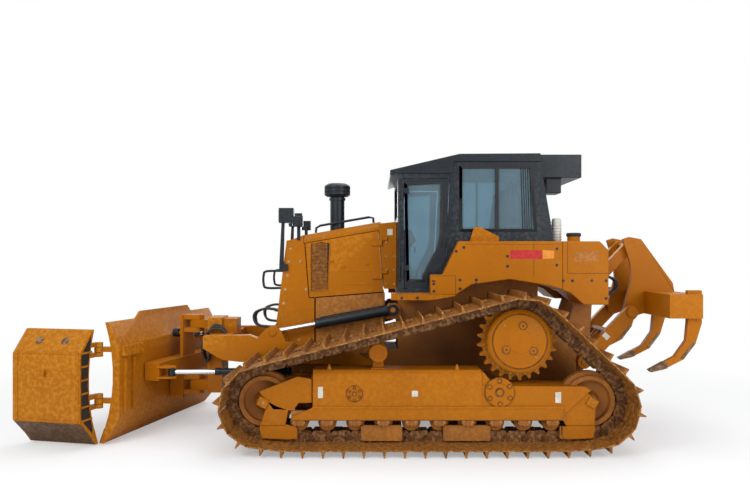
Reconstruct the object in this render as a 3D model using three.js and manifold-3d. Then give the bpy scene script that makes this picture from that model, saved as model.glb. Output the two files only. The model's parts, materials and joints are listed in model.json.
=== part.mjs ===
// A crawler bulldozer with an elevated drive sprocket, low ground pressure tracks, a folding
// six-way blade on a C-frame and a three-shank ripper on a parallelogram at the back.
// Millimetres. +X is forward, +Y the operator's left, +Z up. The origin ends up on the ground
// below the middle of the whole machine; inside this file X = 0 lies midway between the idlers.
import * as THREE from "three";
import { mergeVertices } from "three/addons/utils/BufferGeometryUtils.js";
import Module from "manifold-3d";

const wasm = await Module();
wasm.setup();

// ---------- driving dimensions ----------

const seat = 0.3; // gap between two touching pieces
const run = 6; // gap between pieces that move past each other
const bearing = 0.7; // gap between two faces that rub at a pin
const rad = THREE.MathUtils.degToRad;

const track = {
  gauge: 2286, // between the two track centres
  shoeWidth: 915,
  pitch: 203,
  plate: 16, // shoe plate, under the grouser
  grouser: 65, // height of the bar across each shoe
  pinToShoe: 44, // from the pin line out to the shoe's inner face
  pinToRail: 70, // from the pin line in to the rail the rollers run on
  railInner: 60, // half gap between the two rows of links
  railOuter: 105,
};
const idler = { x: 1700, z: 505, tread: 264, flange: 306, halfHub: 125 };
const sprocket = { x: -954, z: 1135, teeth: 25, halfTooth: 40, tip: 424, root: 372, cover: 335 };
const roller = { front: 1330, rear: -1290, count: 10, radius: 97, shaft: 34 };
const carrier = { x: 510, radius: 96 };
const frameBox = { half: 195, top: 842, bottom: 420, front: 1193, rear: -1720, guard: 316 };
const trunnion = { x: 320, z: 620, hole: 50 }; // C-frame pivot on the main frame
const hull = { half: 420, bottom: 450, top: 940, front: 1600, rear: -1780 };

const hood = { half: 470, front: 1365, rear: 500, frontTop: 2263, slope: 0.174, wall: 40 };
const guard = { half: 470, bottom: 1000, louvres: 7 };
const doorWall = 20;
const cab = { half: 800, wall: 40, floor: 1600, rearFloor: 1800, front: 290, top: 2930, rearTop: 3060 };
const roofTop = 3155;
const glass = 6;
const deck = { outer: 950, top: 2180 };
const tank = { front: -1490, rear: -1990, bottom: 1490 };

const liftPin = { x: 1696, z: 1162, y: 585 };
const liftBase = { x: 340, z: 1412 };
const cFrame = { inner: 520, outer: 650 };
const blade = {
  pivotX: 2697, // vertical axis on which the blade angles
  back: 300, // from that axis to the back of the moldboard
  half: 1200, // half width of the middle section
  top: 1310,
  middleTop: 1390,
  middleHalf: 560,
  bottom: 15,
  tiltZ: 550,
  angle: 13, // left end forward, as parked
};
const wing = { hingeU: 245, length: 800, back: -80, fold: 90, top: 1240 };
const anglePin = { u: -15, v: 653, z: 715 };
const angleBase = { x: 1550, y: 560 };
const tiltBase = { v: 100, z: 1100 };
const tiltEye = { v: -620, z: 1020, u: 220 };

const ripper = {
  lowerX: -1880, lowerZ: 790, // front pin of the lower links
  link: 800, // length of all links
  raised: 46.5, // degrees above level, as parked
  spread: 780, // height from the lower pins to the upper pins
  rake: 47, // the upper pins sit this far behind the lower ones
  ramX: -1930, ramZ: 1800, ramArm: 250,
  beamHalf: 1080, shankY: 980,
};
const pinSides = 16;

// ---------- solids ----------

// A closed three.js geometry as a solid that can be joined and cut.
function solid(geometry) {
  geometry.deleteAttribute("normal");
  geometry.deleteAttribute("uv");
  const merged = mergeVertices(geometry, 1e-3);
  const place = merged.attributes.position;
  const corners = [];
  const a = new THREE.Vector3();
  const b = new THREE.Vector3();
  const c = new THREE.Vector3();
  let volume = 0;
  for (let i = 0; i < merged.index.count; i += 3) {
    const [p, q, r] = [0, 1, 2].map((k) => merged.index.getX(i + k));
    if (p === q || q === r || r === p) continue;
    corners.push(p, q, r);
    a.fromBufferAttribute(place, p);
    b.fromBufferAttribute(place, q);
    c.fromBufferAttribute(place, r);
    volume += a.dot(b.cross(c));
  }
  if (volume < 0) corners.reverse();
  return new wasm.Manifold(new wasm.Mesh({
    numProp: 3,
    vertProperties: new Float32Array(place.array),
    triVerts: new Uint32Array(corners),
  }));
}

const join = (...solids) => solids.flat().reduce((whole, piece) => whole.add(piece));
const cut = (body, ...tools) => tools.flat().reduce((left, tool) => left.subtract(tool), body);

function box(x0, x1, y0, y1, z0, z1) {
  const size = [Math.abs(x1 - x0), Math.abs(y1 - y0), Math.abs(z1 - z0)];
  const geometry = new THREE.BoxGeometry(...size);
  geometry.translate((x0 + x1) / 2, (y0 + y1) / 2, (z0 + z1) / 2);
  return solid(geometry);
}

function extruded(outline, depth, holes = []) {
  const shape = new THREE.Shape(outline.map(([a, b]) => new THREE.Vector2(a, b)));
  shape.holes = holes.map((hole) => new THREE.Path(hole.map(([a, b]) => new THREE.Vector2(a, b))));
  return new THREE.ExtrudeGeometry(shape, { depth, bevelEnabled: false, curveSegments: 12 });
}

// An outline in side view, [x, z], given its thickness between two values of y.
function sidePlate(outline, y0, y1, holes = []) {
  const geometry = extruded(outline, Math.abs(y1 - y0), holes);
  geometry.rotateX(Math.PI / 2);
  geometry.translate(0, Math.max(y0, y1), 0);
  return solid(geometry);
}

// An outline in plan, [x, y], between two heights.
function planPlate(outline, z0, z1, holes = []) {
  const geometry = extruded(outline, z1 - z0, holes);
  geometry.translate(0, 0, z0);
  return solid(geometry);
}

// An outline in front view, [y, z], between two values of x, rising by slope along x.
function crossPlate(outline, x0, x1, slope = 0) {
  const geometry = extruded(outline, x1 - x0);
  const basis = new THREE.Matrix4().makeBasis(
    new THREE.Vector3(0, 1, 0), new THREE.Vector3(0, 0, 1), new THREE.Vector3(1, 0, slope),
  );
  geometry.applyMatrix4(basis);
  geometry.translate(x0, 0, 0);
  return solid(geometry);
}

// A round bar between two points.
function bar(from, to, radius, sides = 16) {
  const start = new THREE.Vector3(...from);
  const end = new THREE.Vector3(...to);
  const along = end.clone().sub(start);
  const geometry = new THREE.CylinderGeometry(radius, radius, along.length(), sides);
  const turn = new THREE.Quaternion().setFromUnitVectors(
    new THREE.Vector3(0, 1, 0), along.clone().normalize(),
  );
  geometry.applyQuaternion(turn);
  geometry.translate(...start.add(end).multiplyScalar(0.5).toArray());
  return solid(geometry);
}

// A pin across the machine, and the shaft radius that turns freely in a hole of many sides.
const crossPin = (x, z, y0, y1, radius, sides = 16) => bar([x, y0, z], [x, y1, z], radius, sides);
const shaftIn = (hole) => hole * Math.cos(Math.PI / pinSides) - seat;

// A turned piece about the Y axis through (x, z): its profile lists [radius, y].
function turned(profile, x, z, sides) {
  const points = profile.map(([r, y]) => new THREE.Vector2(r, y));
  const geometry = new THREE.LatheGeometry(points, sides);
  geometry.translate(x, 0, z);
  return solid(geometry);
}

// A turned piece about a vertical axis: its profile lists [radius, z].
function turnedUp(profile, x, y, count) {
  const points = profile.map(([r, z]) => new THREE.Vector2(r, z));
  const geometry = new THREE.LatheGeometry(points, count);
  geometry.rotateX(Math.PI / 2);
  geometry.translate(x, y, 0);
  return solid(geometry);
}

// A closed outline moved out by a distance, with sharp corners; it runs anticlockwise.
function offset(outline, distance) {
  return outline.map((point, i) => {
    const before = outline.at(i - 1);
    const after = outline[(i + 1) % outline.length];
    const into = new THREE.Vector2(point[0] - before[0], point[1] - before[1]).normalize();
    const out = new THREE.Vector2(after[0] - point[0], after[1] - point[1]).normalize();
    const normal = new THREE.Vector2(into.y + out.y, -into.x - out.x).normalize();
    const reach = distance / (normal.x * into.y - normal.y * into.x);
    return [point[0] + normal.x * reach, point[1] + normal.y * reach];
  });
}

const machine = new THREE.Group();
const finishes = {
  paint: { color: 0xc9891c, roughness: 0.45, metalness: 0.0 },
  darkPaint: { color: 0x8a5a1c, roughness: 0.7, metalness: 0.1 },
  steel: { color: 0x6b5a49, roughness: 0.65, metalness: 0.6 },
  black: { color: 0x17181a, roughness: 0.5, metalness: 0.1 },
  chrome: { color: 0xd8dadc, roughness: 0.12, metalness: 1.0 },
  glass: { color: 0x2a3338, roughness: 0.08, metalness: 0.0 },
  trim: { color: 0x2b2b2d, roughness: 0.8, metalness: 0.0 },
};

function part(name, body, finish, parent = machine) {
  const { vertProperties, triVerts } = body.getMesh();
  const geometry = new THREE.BufferGeometry();
  geometry.setAttribute("position", new THREE.BufferAttribute(new Float32Array(vertProperties), 3));
  geometry.setIndex(new THREE.BufferAttribute(new Uint32Array(triVerts), 1));
  geometry.computeVertexNormals();
  const mesh = new THREE.Mesh(geometry, new THREE.MeshStandardMaterial(finishes[finish]));
  mesh.name = name;
  parent.add(mesh);
}

const sides = [["left", 1], ["right", -1]];

// ---------- track path ----------

// The pin line wraps circles in turn, anticlockwise seen with +X to the right and +Z up.
const chordRadius = (tread) => Math.hypot(tread + track.pinToRail + run, track.pitch / 2);
const sprocketPitch = track.pitch / 2 / Math.sin((2 * Math.PI) / sprocket.teeth);
const rollerZ = track.grouser + track.plate + track.pinToShoe + track.pinToRail + roller.radius + 2;
const cornerRadius = roller.radius + 2 + track.pinToRail;
const wrapped = [
  { x: roller.front + 80, z: rollerZ, r: cornerRadius },
  { x: idler.x, z: idler.z, r: chordRadius(idler.tread) },
  { x: sprocket.x, z: sprocket.z, r: sprocketPitch },
  { x: -idler.x, z: idler.z, r: chordRadius(idler.tread) },
  { x: roller.rear - 80, z: rollerZ, r: cornerRadius },
];

// The outward direction of the straight run from one circle to the next.
function outward(from, to) {
  const along = new THREE.Vector2(to.x - from.x, to.z - from.z);
  const lean = (from.r - to.r) / along.length();
  along.normalize();
  const side = Math.sqrt(1 - lean * lean);
  return new THREE.Vector2(along.y * side + along.x * lean, -along.x * side + along.y * lean);
}

function pinLine() {
  const line = new THREE.CurvePath();
  const normals = wrapped.map((circle, i) => outward(circle, wrapped[(i + 1) % wrapped.length]));
  wrapped.forEach((circle, i) => {
    const start = normals.at(i - 1).angle();
    let end = normals[i].angle();
    if (end < start) end += 2 * Math.PI;
    const next = wrapped[(i + 1) % wrapped.length];
    line.add(new THREE.EllipseCurve(circle.x, circle.z, circle.r, circle.r, start, end));
    line.add(new THREE.LineCurve(
      new THREE.Vector2(circle.x, circle.z).addScaledVector(normals[i], circle.r),
      new THREE.Vector2(next.x, next.z).addScaledVector(normals[i], next.r),
    ));
  });
  return line;
}

const loop = pinLine();
const shoes = Math.round(loop.getLength() / track.pitch);
const pins = Array.from({ length: shoes }, (_, i) => loop.getPoint(i / shoes).toArray());

function trackSolid() {
  const outer = [];
  const shoeFace = track.pinToShoe + track.plate;
  const grouserTip = shoeFace + track.grouser;
  const corners = offset(pins, shoeFace);
  const grouserAt = [[44, shoeFace], [54, grouserTip], [66, grouserTip], [76, shoeFace]];
  pins.forEach((pin, i) => {
    const next = pins[(i + 1) % shoes];
    const along = new THREE.Vector2(next[0] - pin[0], next[1] - pin[1]).normalize();
    outer.push(corners[i]);
    for (const [t, n] of grouserAt) {
      outer.push([pin[0] + along.x * t + along.y * n, pin[1] + along.y * t - along.x * n]);
    }
  });
  const half = track.shoeWidth / 2;
  const lap = 4;
  const band = sidePlate(outer, -half, half, [offset(pins, track.pinToShoe)]);
  const rail = (y0, y1) => sidePlate(
    offset(pins, track.pinToShoe + lap), y0, y1, [offset(pins, -track.pinToRail)],
  );
  return join(
    band, rail(-track.railOuter, -track.railInner), rail(track.railInner, track.railOuter),
  );
}

// ---------- undercarriage ----------

function sprocketSolid(side) {
  const step = (2 * Math.PI) / sprocket.teeth;
  const rim = [];
  for (let i = 0; i < sprocket.teeth; i += 1) {
    for (const [share, r] of [[0.12, sprocket.root], [0.38, sprocket.tip],
      [0.62, sprocket.tip], [0.88, sprocket.root]]) {
      const angle = (i + share) * step;
      rim.push([sprocket.x + r * Math.cos(angle), sprocket.z + r * Math.sin(angle)]);
    }
  }
  const teeth = sidePlate(rim, -sprocket.halfTooth, sprocket.halfTooth);
  const inside = track.railOuter + run + 4;
  const hub = turned([[0, -sprocket.halfTooth], [250, -sprocket.halfTooth], [300, 0],
    [300, inside], [sprocket.cover, inside], [sprocket.cover, 150], [290, 185],
    [150, 190], [150, 205], [0, 205]].map(([r, y]) => [r, y * side]), sprocket.x, sprocket.z, 32);
  return join(teeth, hub);
}

function idlerSolid(x) {
  const { tread, flange, halfHub } = idler;
  const neck = track.railInner - 8;
  const web = 28;
  return turned([[0, -halfHub - 5], [70, -halfHub - 5], [110, -web], [tread - 50, -web],
    [tread - 50, -track.railOuter], [tread, -track.railOuter], [tread, -neck],
    [flange, -neck + 8], [flange, neck - 8], [tread, neck], [tread, track.railOuter],
    [tread - 50, track.railOuter], [tread - 50, web], [110, web], [70, halfHub + 5],
    [0, halfHub + 5]], x, idler.z, 28);
}

// The roller frame: a box beam with sloping shoulders, the forks that hold both idlers, the
// carrier roller's stand, and the guard beneath.
function trackFrameSolid(side) {
  const { half, top, bottom, front, rear } = frameBox;
  const step = -560;
  const beam = sidePlate([[front, bottom], [front, top - 60], [front - 60, top], [step + 60, top],
    [step, top - 140], [rear + 240, top - 160], [rear, top - 200], [rear + 330, bottom]],
  -half, half);
  const shoulder = (s) => crossPlate([[s * (half + 1), top + 1], [s * (half - 55), top + 1],
    [s * (half + 1), top - 62]], step - 20, front + 1);
  const recoil = bar([front - 20, 0, 620], [1285, 0, 620], 120, 20);
  const axleZ = idler.z;
  const inner = idler.halfHub + 5 + seat;
  const outer = inner + 40;
  const frontFork = [[1180, 480], [1300, 430], [1600, 428], [idler.x + 60, axleZ - 60],
    [idler.x + 75, axleZ], [idler.x + 60, axleZ + 60], [1500, 640], [1260, 790], [1180, 780]];
  const rearFork = [[-1330, 440], [-1440, 430], [-1560, 400], [-idler.x - 70, axleZ - 60],
    [-idler.x - 75, axleZ], [-idler.x - 60, axleZ + 60], [-1560, 640], [-1330, 640]];
  const guide = [[1425, 115], [1640, 125], [1720, 150], [1745, 260], [1700, 450], [1425, 450]];
  const rearGuide = guide.map(([x, z]) => [-x, z]).reverse();
  const forks = [-1, 1].flatMap((s) => [
    sidePlate(guide, s * inner, s * (outer - 15)),
    sidePlate(rearGuide, s * inner, s * (outer - 15)),
    sidePlate(frontFork, s * inner, s * outer),
    sidePlate(rearFork, s * inner, s * outer),
    box(1120, 1200, s * (inner - 5), s * outer, 500, 760),
  ]);
  const railTop = carrierZ() + carrier.radius;
  const stand = sidePlate([[carrier.x - 60, top - 10], [carrier.x + 60, top - 10],
    [carrier.x + 45, railTop - carrier.radius + 30], [carrier.x - 45, railTop - carrier.radius + 30]],
  -38, 38);
  const pair = turned([[0, -112], [carrier.radius, -112], [carrier.radius, -52], [45, -52],
    [45, 52], [carrier.radius, 52], [carrier.radius, 112], [0, 112]], carrier.x, carrierZ(), 20);
  const clearRear = cut(beam, bar([-idler.x, -half, axleZ], [-idler.x, half, axleZ], 340, 32));
  const caps = [[-741, 615, 150], [754, 595, 78]].map(([x, z, r]) => crossPin(x, z,
    side * (half - 20), side * (half + 22), r, 20));
  return join(cut(clearRear, shoulder(1), shoulder(-1)), recoil, forks, stand, pair, caps);
}

// The carrier roller's height under the straight upper run of the track.
function carrierZ() {
  const normal = outward(wrapped[1], wrapped[2]);
  const onLine = new THREE.Vector2(idler.x, idler.z).addScaledVector(normal, wrapped[1].r);
  const drop = (carrier.x - onLine.x) * (-normal.x / normal.y);
  const reach = (track.pinToRail + carrier.radius + 1.5) / normal.y;
  return onLine.y + drop - reach;
}

// Ten rollers between two long guards, which carry their shafts.
function rollersSolid() {
  const { front, rear, count, radius, shaft } = roller;
  const gap = (front - rear) / (count - 1);
  const inner = 140;
  const outer = 190;
  const pieces = [-1, 1].map((s) => box(rear - 130, front + 80, s * inner, s * outer,
    frameBox.guard, frameBox.bottom - seat));
  for (let i = 0; i < count; i += 1) {
    const x = rear + i * gap;
    pieces.push(crossPin(x, rollerZ, -112, 112, radius, 14));
    pieces.push(box(x - shaft, x + shaft, -outer + 5, outer - 5, rollerZ - shaft,
      frameBox.guard + 5));
  }
  const guides = [[1354, 1410, 130], [262, 689, 100], [-653, -164, 100], [-1420, -1370, 120]];
  for (const [x0, x1, low] of guides) {
    for (const s of [-1, 1]) {
      pieces.push(box(x0, x1, s * 116, s * (inner + 12), low, frameBox.guard + 30));
    }
  }
  return join(pieces);
}

for (const [side, s] of sides) {
  const group = new THREE.Group();
  group.position.y = (s * track.gauge) / 2;
  machine.add(group);
  part(`track_${side}`, trackSolid(), "steel", group);
  part(`sprocket_${side}`, sprocketSolid(s), "darkPaint", group);
  part(`front_idler_${side}`, idlerSolid(idler.x), "darkPaint", group);
  part(`rear_idler_${side}`, idlerSolid(-idler.x), "darkPaint", group);
  part(`track_frame_${side}`, trackFrameSolid(s), "paint", group);
  part(`track_rollers_${side}`, rollersSolid(), "darkPaint", group);
}

// ---------- main frame and engine ----------

const trackInside = track.gauge / 2 - frameBox.half; // inner face of each roller frame
const pivotShaft = { x: -741, z: 615, radius: 75 };
const engine = { half: 360, rear: 520, front: 1215, top: 2080 };
const caseTop = cab.floor - seat;

function mainFrameSolid() {
  const { half, bottom, top, front, rear } = hull;
  const body = sidePlate([[rear, 620], [rear + 160, bottom], [front - 150, bottom],
    [front, 640], [front, guard.bottom - seat], [1245, guard.bottom - seat], [1245, top],
    [280, top], [280, caseTop], [-330, caseTop], [-400, cab.rearFloor - seat],
    [-1340, cab.rearFloor - seat], [-1340, 1480], [-1640, 1200], [rear, 1000]], -half, half);
  const skirts = sides.map(([, s]) => sidePlate([[1225, 900], [1225, 1538], [430, 1600], [430, 900]],
    s * (half - 40), s * hood.half));
  const equalizer = box(705, 795, -trackInside + seat, trackInside - seat, 490, 600);
  const pivot = crossPin(pivotShaft.x, pivotShaft.z, -trackInside + seat, trackInside - seat,
    pivotShaft.radius, 20);
  const hubIn = track.gauge / 2 - sprocket.halfTooth - seat;
  const drives = sides.map(([, s]) => turned([[0, s * (half - 20)], [255, s * (half - 20)],
    [255, s * 880], [180, s * 960], [180, s * hubIn], [0, s * hubIn]], sprocket.x, sprocket.z, 28));
  const pinR = shaftIn(trunnion.hole);
  const trunnions = crossPin(trunnion.x, trunnion.z, -cFrame.outer - 8, cFrame.outer + 8, pinR,
    pinSides);
  const collars = sides.map(([, s]) => crossPin(trunnion.x, trunnion.z, s * (half - 10),
    s * (cFrame.inner - bearing), 85, 20));
  const ramPin = shaftIn(32);
  const lugs = sides.map(([, s]) => join(
    sidePlate([[250, 1300], [420, 1300], [420, 1440], [380, 1480], [300, 1480], [250, 1440]],
      s * (half - 10), s * (liftPin.y - 50 - run)),
    crossPin(liftBase.x, liftBase.z, s * half, s * (liftPin.y + 60), ramPin, pinSides),
  ));
  return join(body, skirts, equalizer, pivot, drives, trunnions, collars, lugs, ripperBracket());
}

// Two upright plates on the back of the case, with the pins of the ripper's links and ram.
function ripperPins() {
  const { lowerX, lowerZ, link, raised, spread, rake } = ripper;
  const reach = [-link * Math.cos(rad(raised)), link * Math.sin(rad(raised))];
  const lower = [lowerX, lowerZ];
  const upper = [lowerX - rake, lowerZ + spread];
  const add = (p) => [p[0] + reach[0], p[1] + reach[1]];
  return { lower, upper, lowerEnd: add(lower), upperEnd: add(upper), ram: [ripper.ramX, ripper.ramZ] };
}

const plateIn = 270; // the ripper's upright plates lie between these distances from the middle
const plateOut = 320;
const rearPins = ripperPins();
const linkHole = 36;
const upperArm = { inner: 140, outer: 240 };
const lowerArm = { inner: plateOut + run + 2, outer: 412 };

function ripperBracket() {
  const { lower, upper, ram } = rearPins;
  const outline = [[hull.rear + 40, 560], [lower[0] - 20, 700], [lower[0] - 80, 790],
    [lower[0] - 80, 860], [upper[0] - 70, 1500], [ram[0] - 70, 1620], [ram[0] - 65, 1860],
    [ram[0] + 40, 1880], [ram[0] + 95, 1600], [hull.rear + 100, 1130], [hull.rear + 100, 600]];
  const plates = [-1, 1].map((s) => sidePlate(outline, s * plateIn, s * plateOut));
  const pin = (p, y0, y1) => crossPin(p[0], p[1], y0, y1, shaftIn(linkHole), pinSides);
  return join(plates, pin(ram, -plateIn - 5, plateIn + 5), [-1, 1].map((s) => join(
    pin(upper, s * (upperArm.inner - 6), s * (plateIn + 5)),
    pin(lower, s * (plateOut - 5), s * (lowerArm.outer + 6)),
  )));
}

part("main_frame", mainFrameSolid(), "darkPaint");
part("engine_block", box(engine.rear, engine.front, -engine.half, engine.half, hull.top + seat,
  engine.top), "black");

// ---------- bonnet ----------

const hoodAt = (x) => hood.frontTop + (hood.front - x) * hood.slope;

// The radiator's armoured surround leans back; its front is open behind cross bars.
function radiatorGuardSolid() {
  const { half, bottom, louvres } = guard;
  const outline = [[1640, bottom], [1681, 1228], [1560, 2200], [1500, hoodAt(1500) - 30],
    [hood.front, hood.frontTop], [hood.front, hood.frontTop - 98], [hood.front - 10,
      hood.frontTop - 103], [1305, 1538], [1240, 1532], [1240, bottom]];
  const shell = sidePlate(outline, -half, half);
  const mouth = sidePlate([[1560, 1240], [1760, 1240], [1600, 2120], [1470, 2120]],
    -half + 70, half - 70);
  const bars = Array.from({ length: louvres }, (_, i) => {
    const z = 1300 + (i * 760) / (louvres - 1);
    const x = 1681 - (z - 1228) * 0.1245;
    return box(x - 75, x - 45, -half + 60, half - 60, z - 22, z + 22);
  });
  return join(cut(shell, mouth), bars);
}

// The sheet-steel top, its edges chamfered, runs into the cowl in front of the cab.
const stack = { x: 985, y: 284, radius: 84, cap: 152 };
const seam = 6;

// Each engine door hangs on two knuckles beneath lugs on the cowl's front edge.
const engineHinge = { x: 470, y: hood.half + 14, radius: 12, heights: [1760, 2140] };

function hoodSolid() {
  const { half, front, rear, wall, slope } = hood;
  const chamfer = 55;
  const side = 95;
  const [h0, h1] = [half, half - chamfer];
  const section = [[-h0, -side], [-h0, -chamfer], [-h1, 0], [h1, 0], [h0, -chamfer], [h0, -side],
    [h0 - doorWall, -side], [h0 - doorWall, -chamfer - 8], [h1 - 8, -wall], [-h1 + 8, -wall],
    [-h0 + doorWall, -chamfer - 8], [-h0 + doorWall, -side]];
  const start = rear - 20;
  const top = crossPlate(section.map(([y, z]) => [y, z + hoodAt(start)]), start, front - seat,
    -slope);
  const back = cab.front + seat + 5;
  const cowl = sidePlate([[back, 1645], [441, 1645], [504, 2395], [back, 2415]], -half, half);
  const lugs = sides.flatMap(([, s]) => engineHinge.heights.map((z) => join(
    bar([engineHinge.x, s * engineHinge.y, z + 60 + seat], [engineHinge.x, s * engineHinge.y,
      z + 100], engineHinge.radius, 12),
    box(400, 440, s * (half - 5), s * (half + 22), z + 60 + seat, z + 100),
    box(430, engineHinge.x, s * (half + 3), s * (half + 22), z + 60 + seat, z + 100),
  )));
  const hole = bar([stack.x, stack.y, 2000], [stack.x, stack.y, 2600], stack.radius + 0.6, 20);
  return cut(join(top, cowl, lugs), hole);
}

part("radiator_guard", radiatorGuardSolid(), "paint");
part("hood", hoodSolid(), "paint");

for (const [side, s] of sides) {
  const under = (x) => hoodAt(x) - 95 - seam;
  const door = sidePlate([[1296, 1545], [1345, under(1345)], [505, under(505)], [446, 1612]],
    s * (hood.half - doorWall), s * hood.half);
  const knuckles = engineHinge.heights.map((z) => join(
    bar([engineHinge.x, s * engineHinge.y, z], [engineHinge.x, s * engineHinge.y, z + 60],
      engineHinge.radius, 12),
    box(engineHinge.x, 520, s * (hood.half + 3), s * (hood.half + 18), z, z + 60),
    box(510, 580, s * (hood.half - 5), s * (hood.half + 18), z, z + 60),
  ));
  part(`engine_door_${side}`, join(door, knuckles), "paint");
}

function hoodRailSolid() {
  const foot = (x) => hoodAt(x) + 3.2;
  const y = hood.half - 72;
  const rise = 75;
  const [x0, x1] = [1228, 560];
  const path = new THREE.CurvePath();
  const corner = 40;
  const at = (x, up) => new THREE.Vector3(x, y, foot(x) + up);
  path.add(new THREE.LineCurve3(at(x0, 0), at(x0, rise - corner)));
  path.add(new THREE.QuadraticBezierCurve3(at(x0, rise - corner), at(x0, rise),
    at(x0 - corner, rise)));
  path.add(new THREE.LineCurve3(at(x0 - corner, rise), at(x1 + corner, rise)));
  path.add(new THREE.QuadraticBezierCurve3(at(x1 + corner, rise), at(x1, rise),
    at(x1, rise - corner)));
  path.add(new THREE.LineCurve3(at(x1, rise - corner), at(x1, 0)));
  const round = new THREE.Shape();
  round.absarc(0, 0, 14, 0, 2 * Math.PI);
  const rail = new THREE.ExtrudeGeometry(round, { steps: 14, extrudePath: path, curveSegments: 4,
    bevelEnabled: false });
  return solid(rail);
}

part("hood_handrail", hoodRailSolid(), "paint");
part("intake_stack", turnedUp([[0, 2200], [stack.radius, 2200], [stack.radius, 2700],
  [stack.cap - 30, 2710], [stack.cap, 2740], [stack.cap, 2840], [stack.cap - 40, 2868], [0, 2868]],
stack.x, stack.y, 20), "paint");

for (const [side, s] of sides) {
  const face = guard.half + seat;
  const post = sidePlate([[1545, 1850], [1640, 1850], [1640, 1920], [1612, 2450], [1577, 2450],
    [1590, 1930], [1545, 1930]], s * face, s * (face + 35));
  const lamp = box(1470, 1640, s * (face - 50), s * (face + 80), 2400, 2570);
  part(`light_post_${side}`, join(post, lamp), "black");
}

// ---------- cab ----------

// The step box stands behind the door's lower rear corner, so the leaf is notched to swing past it.
const stepBox = { front: -58, top: 1817, clear: 12 };
const doorFrame = [[223, 1656], [223, 2880], [-285, 2880], [-241, 1985],
  [-165, stepBox.top + stepBox.clear], [stepBox.front + stepBox.clear, stepBox.top + stepBox.clear],
  [stepBox.front + stepBox.clear, 1656]];
const doorPane = [[183, 1744], [205, 2820], [-200, 2840], [-190, 2250], [-159, 2108], [0, 1800],
  [0, 1744]];
const rearPane = [[-400, 2300], [-400, 3010], [-1180, 3010], [-1235, 2300]];
const screen = { half: 640, bottom: 2460, top: 2870 };
const rearLight = { half: 560, bottom: 2330, top: 2940 };

function turnedOutline(outline) {
  const area = THREE.ShapeUtils.area(outline.map(([a, b]) => new THREE.Vector2(a, b)));
  return area < 0 ? [...outline].reverse() : outline;
}
const grown = (outline, distance) => offset(turnedOutline(outline), distance);

const cabOutline = [[cab.front, cab.floor], [cab.front, cab.top], [-300, cab.top],
  [-330, cab.rearTop], [-1285, cab.rearTop], [-1418, 2274], [-1418, 1950], [-1360, cab.rearFloor],
  [-400, cab.rearFloor], [-330, cab.floor]];

const cabHinge = { x: 245, y: cab.half + 16, radius: 14, heights: [1800, 2650] };

function cabShellSolid() {
  const { half, wall } = cab;
  const outer = sidePlate(cabOutline, -half, half);
  const room = grown(cabOutline, -wall).map(([x, z]) => [x, z > cab.top - wall - 5 ? z + 200 : z]);
  const inner = sidePlate(room, -half + wall, half - wall);
  const openTop = box(cab.front - wall, -1285 + wall + 8, -half + wall, half - wall,
    cab.top - wall - 20, roofTop);
  const sideways = (outline) => sides.map(([, s]) => sidePlate(outline, s * (half - wall - 10),
    s * (half + 10)));
  const front = box(cab.front - wall - 10, cab.front + 10, -screen.half, screen.half,
    screen.bottom, screen.top);
  const back = box(-1500, -1200, -rearLight.half, rearLight.half, rearLight.bottom, rearLight.top);
  const shell = cut(outer, inner, openTop, sideways(doorFrame), sideways(rearPane), front, back);
  const hinges = sides.flatMap(([, s]) => cabHinge.heights.map((z) => join(
    bar([cabHinge.x, s * cabHinge.y, z], [cabHinge.x, s * cabHinge.y, z + 60], cabHinge.radius, 12),
    box(cabHinge.x, cab.front - 4, s * (half - 5), s * (half + 20), z, z + 60),
  )));
  return join(shell, hinges);
}

part("cab_shell", cabShellSolid(), "paint");
part("cab_roof", sidePlate([[377, 2905], [377, 2970], [-390, roofTop - 6], [-1285, roofTop],
  [-1285, cab.rearTop + seat], [-330, cab.rearTop + seat], [-300, cab.top + seat],
  [300, cab.top + seat]], -cab.half - 15, cab.half + 15), "paint");

for (const [side, s] of sides) {
  const pane = (outline) => sidePlate(outline, s * (cab.half - 25), s * (cab.half - 25 + glass));
  const leaf = sidePlate(grown(doorFrame, -run), s * (cab.half - cab.wall), s * cab.half,
    [doorPane]);
  const knuckles = cabHinge.heights.map((z) => join(
    bar([cabHinge.x, s * cabHinge.y, z + 60 + seat], [cabHinge.x, s * cabHinge.y, z + 120],
      cabHinge.radius, 12),
    box(cabHinge.x - 75, 212, s * (cab.half - 5), s * (cab.half + 20), z + 60 + seat, z + 120),
    box(200, cabHinge.x, s * (cab.half + 2), s * (cab.half + 20), z + 60 + seat, z + 120),
  ));
  part(`cab_door_${side}`, join(leaf, knuckles), "paint");
  part(`door_glass_${side}`, pane(grown(doorPane, -seat)), "glass");
  part(`side_window_${side}`, pane(grown(rearPane, -seat)), "glass");
}

part("windscreen", box(cab.front - 25, cab.front - 25 + glass, -screen.half + seat,
  screen.half - seat, screen.bottom + seat, screen.top - seat), "glass");
const rearLean = (1418 - 1285) / (2274 - cab.rearTop);
const rearWallX = (z) => -1285 + (z - cab.rearTop) * -rearLean;
part("rear_window", sidePlate([[rearWallX(rearLight.bottom) + 20, rearLight.bottom + seat],
  [rearWallX(rearLight.bottom) + 26, rearLight.bottom + seat],
  [rearWallX(rearLight.top) + 26, rearLight.top - seat],
  [rearWallX(rearLight.top) + 20, rearLight.top - seat]], -rearLight.half + seat,
rearLight.half - seat), "glass");

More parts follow.
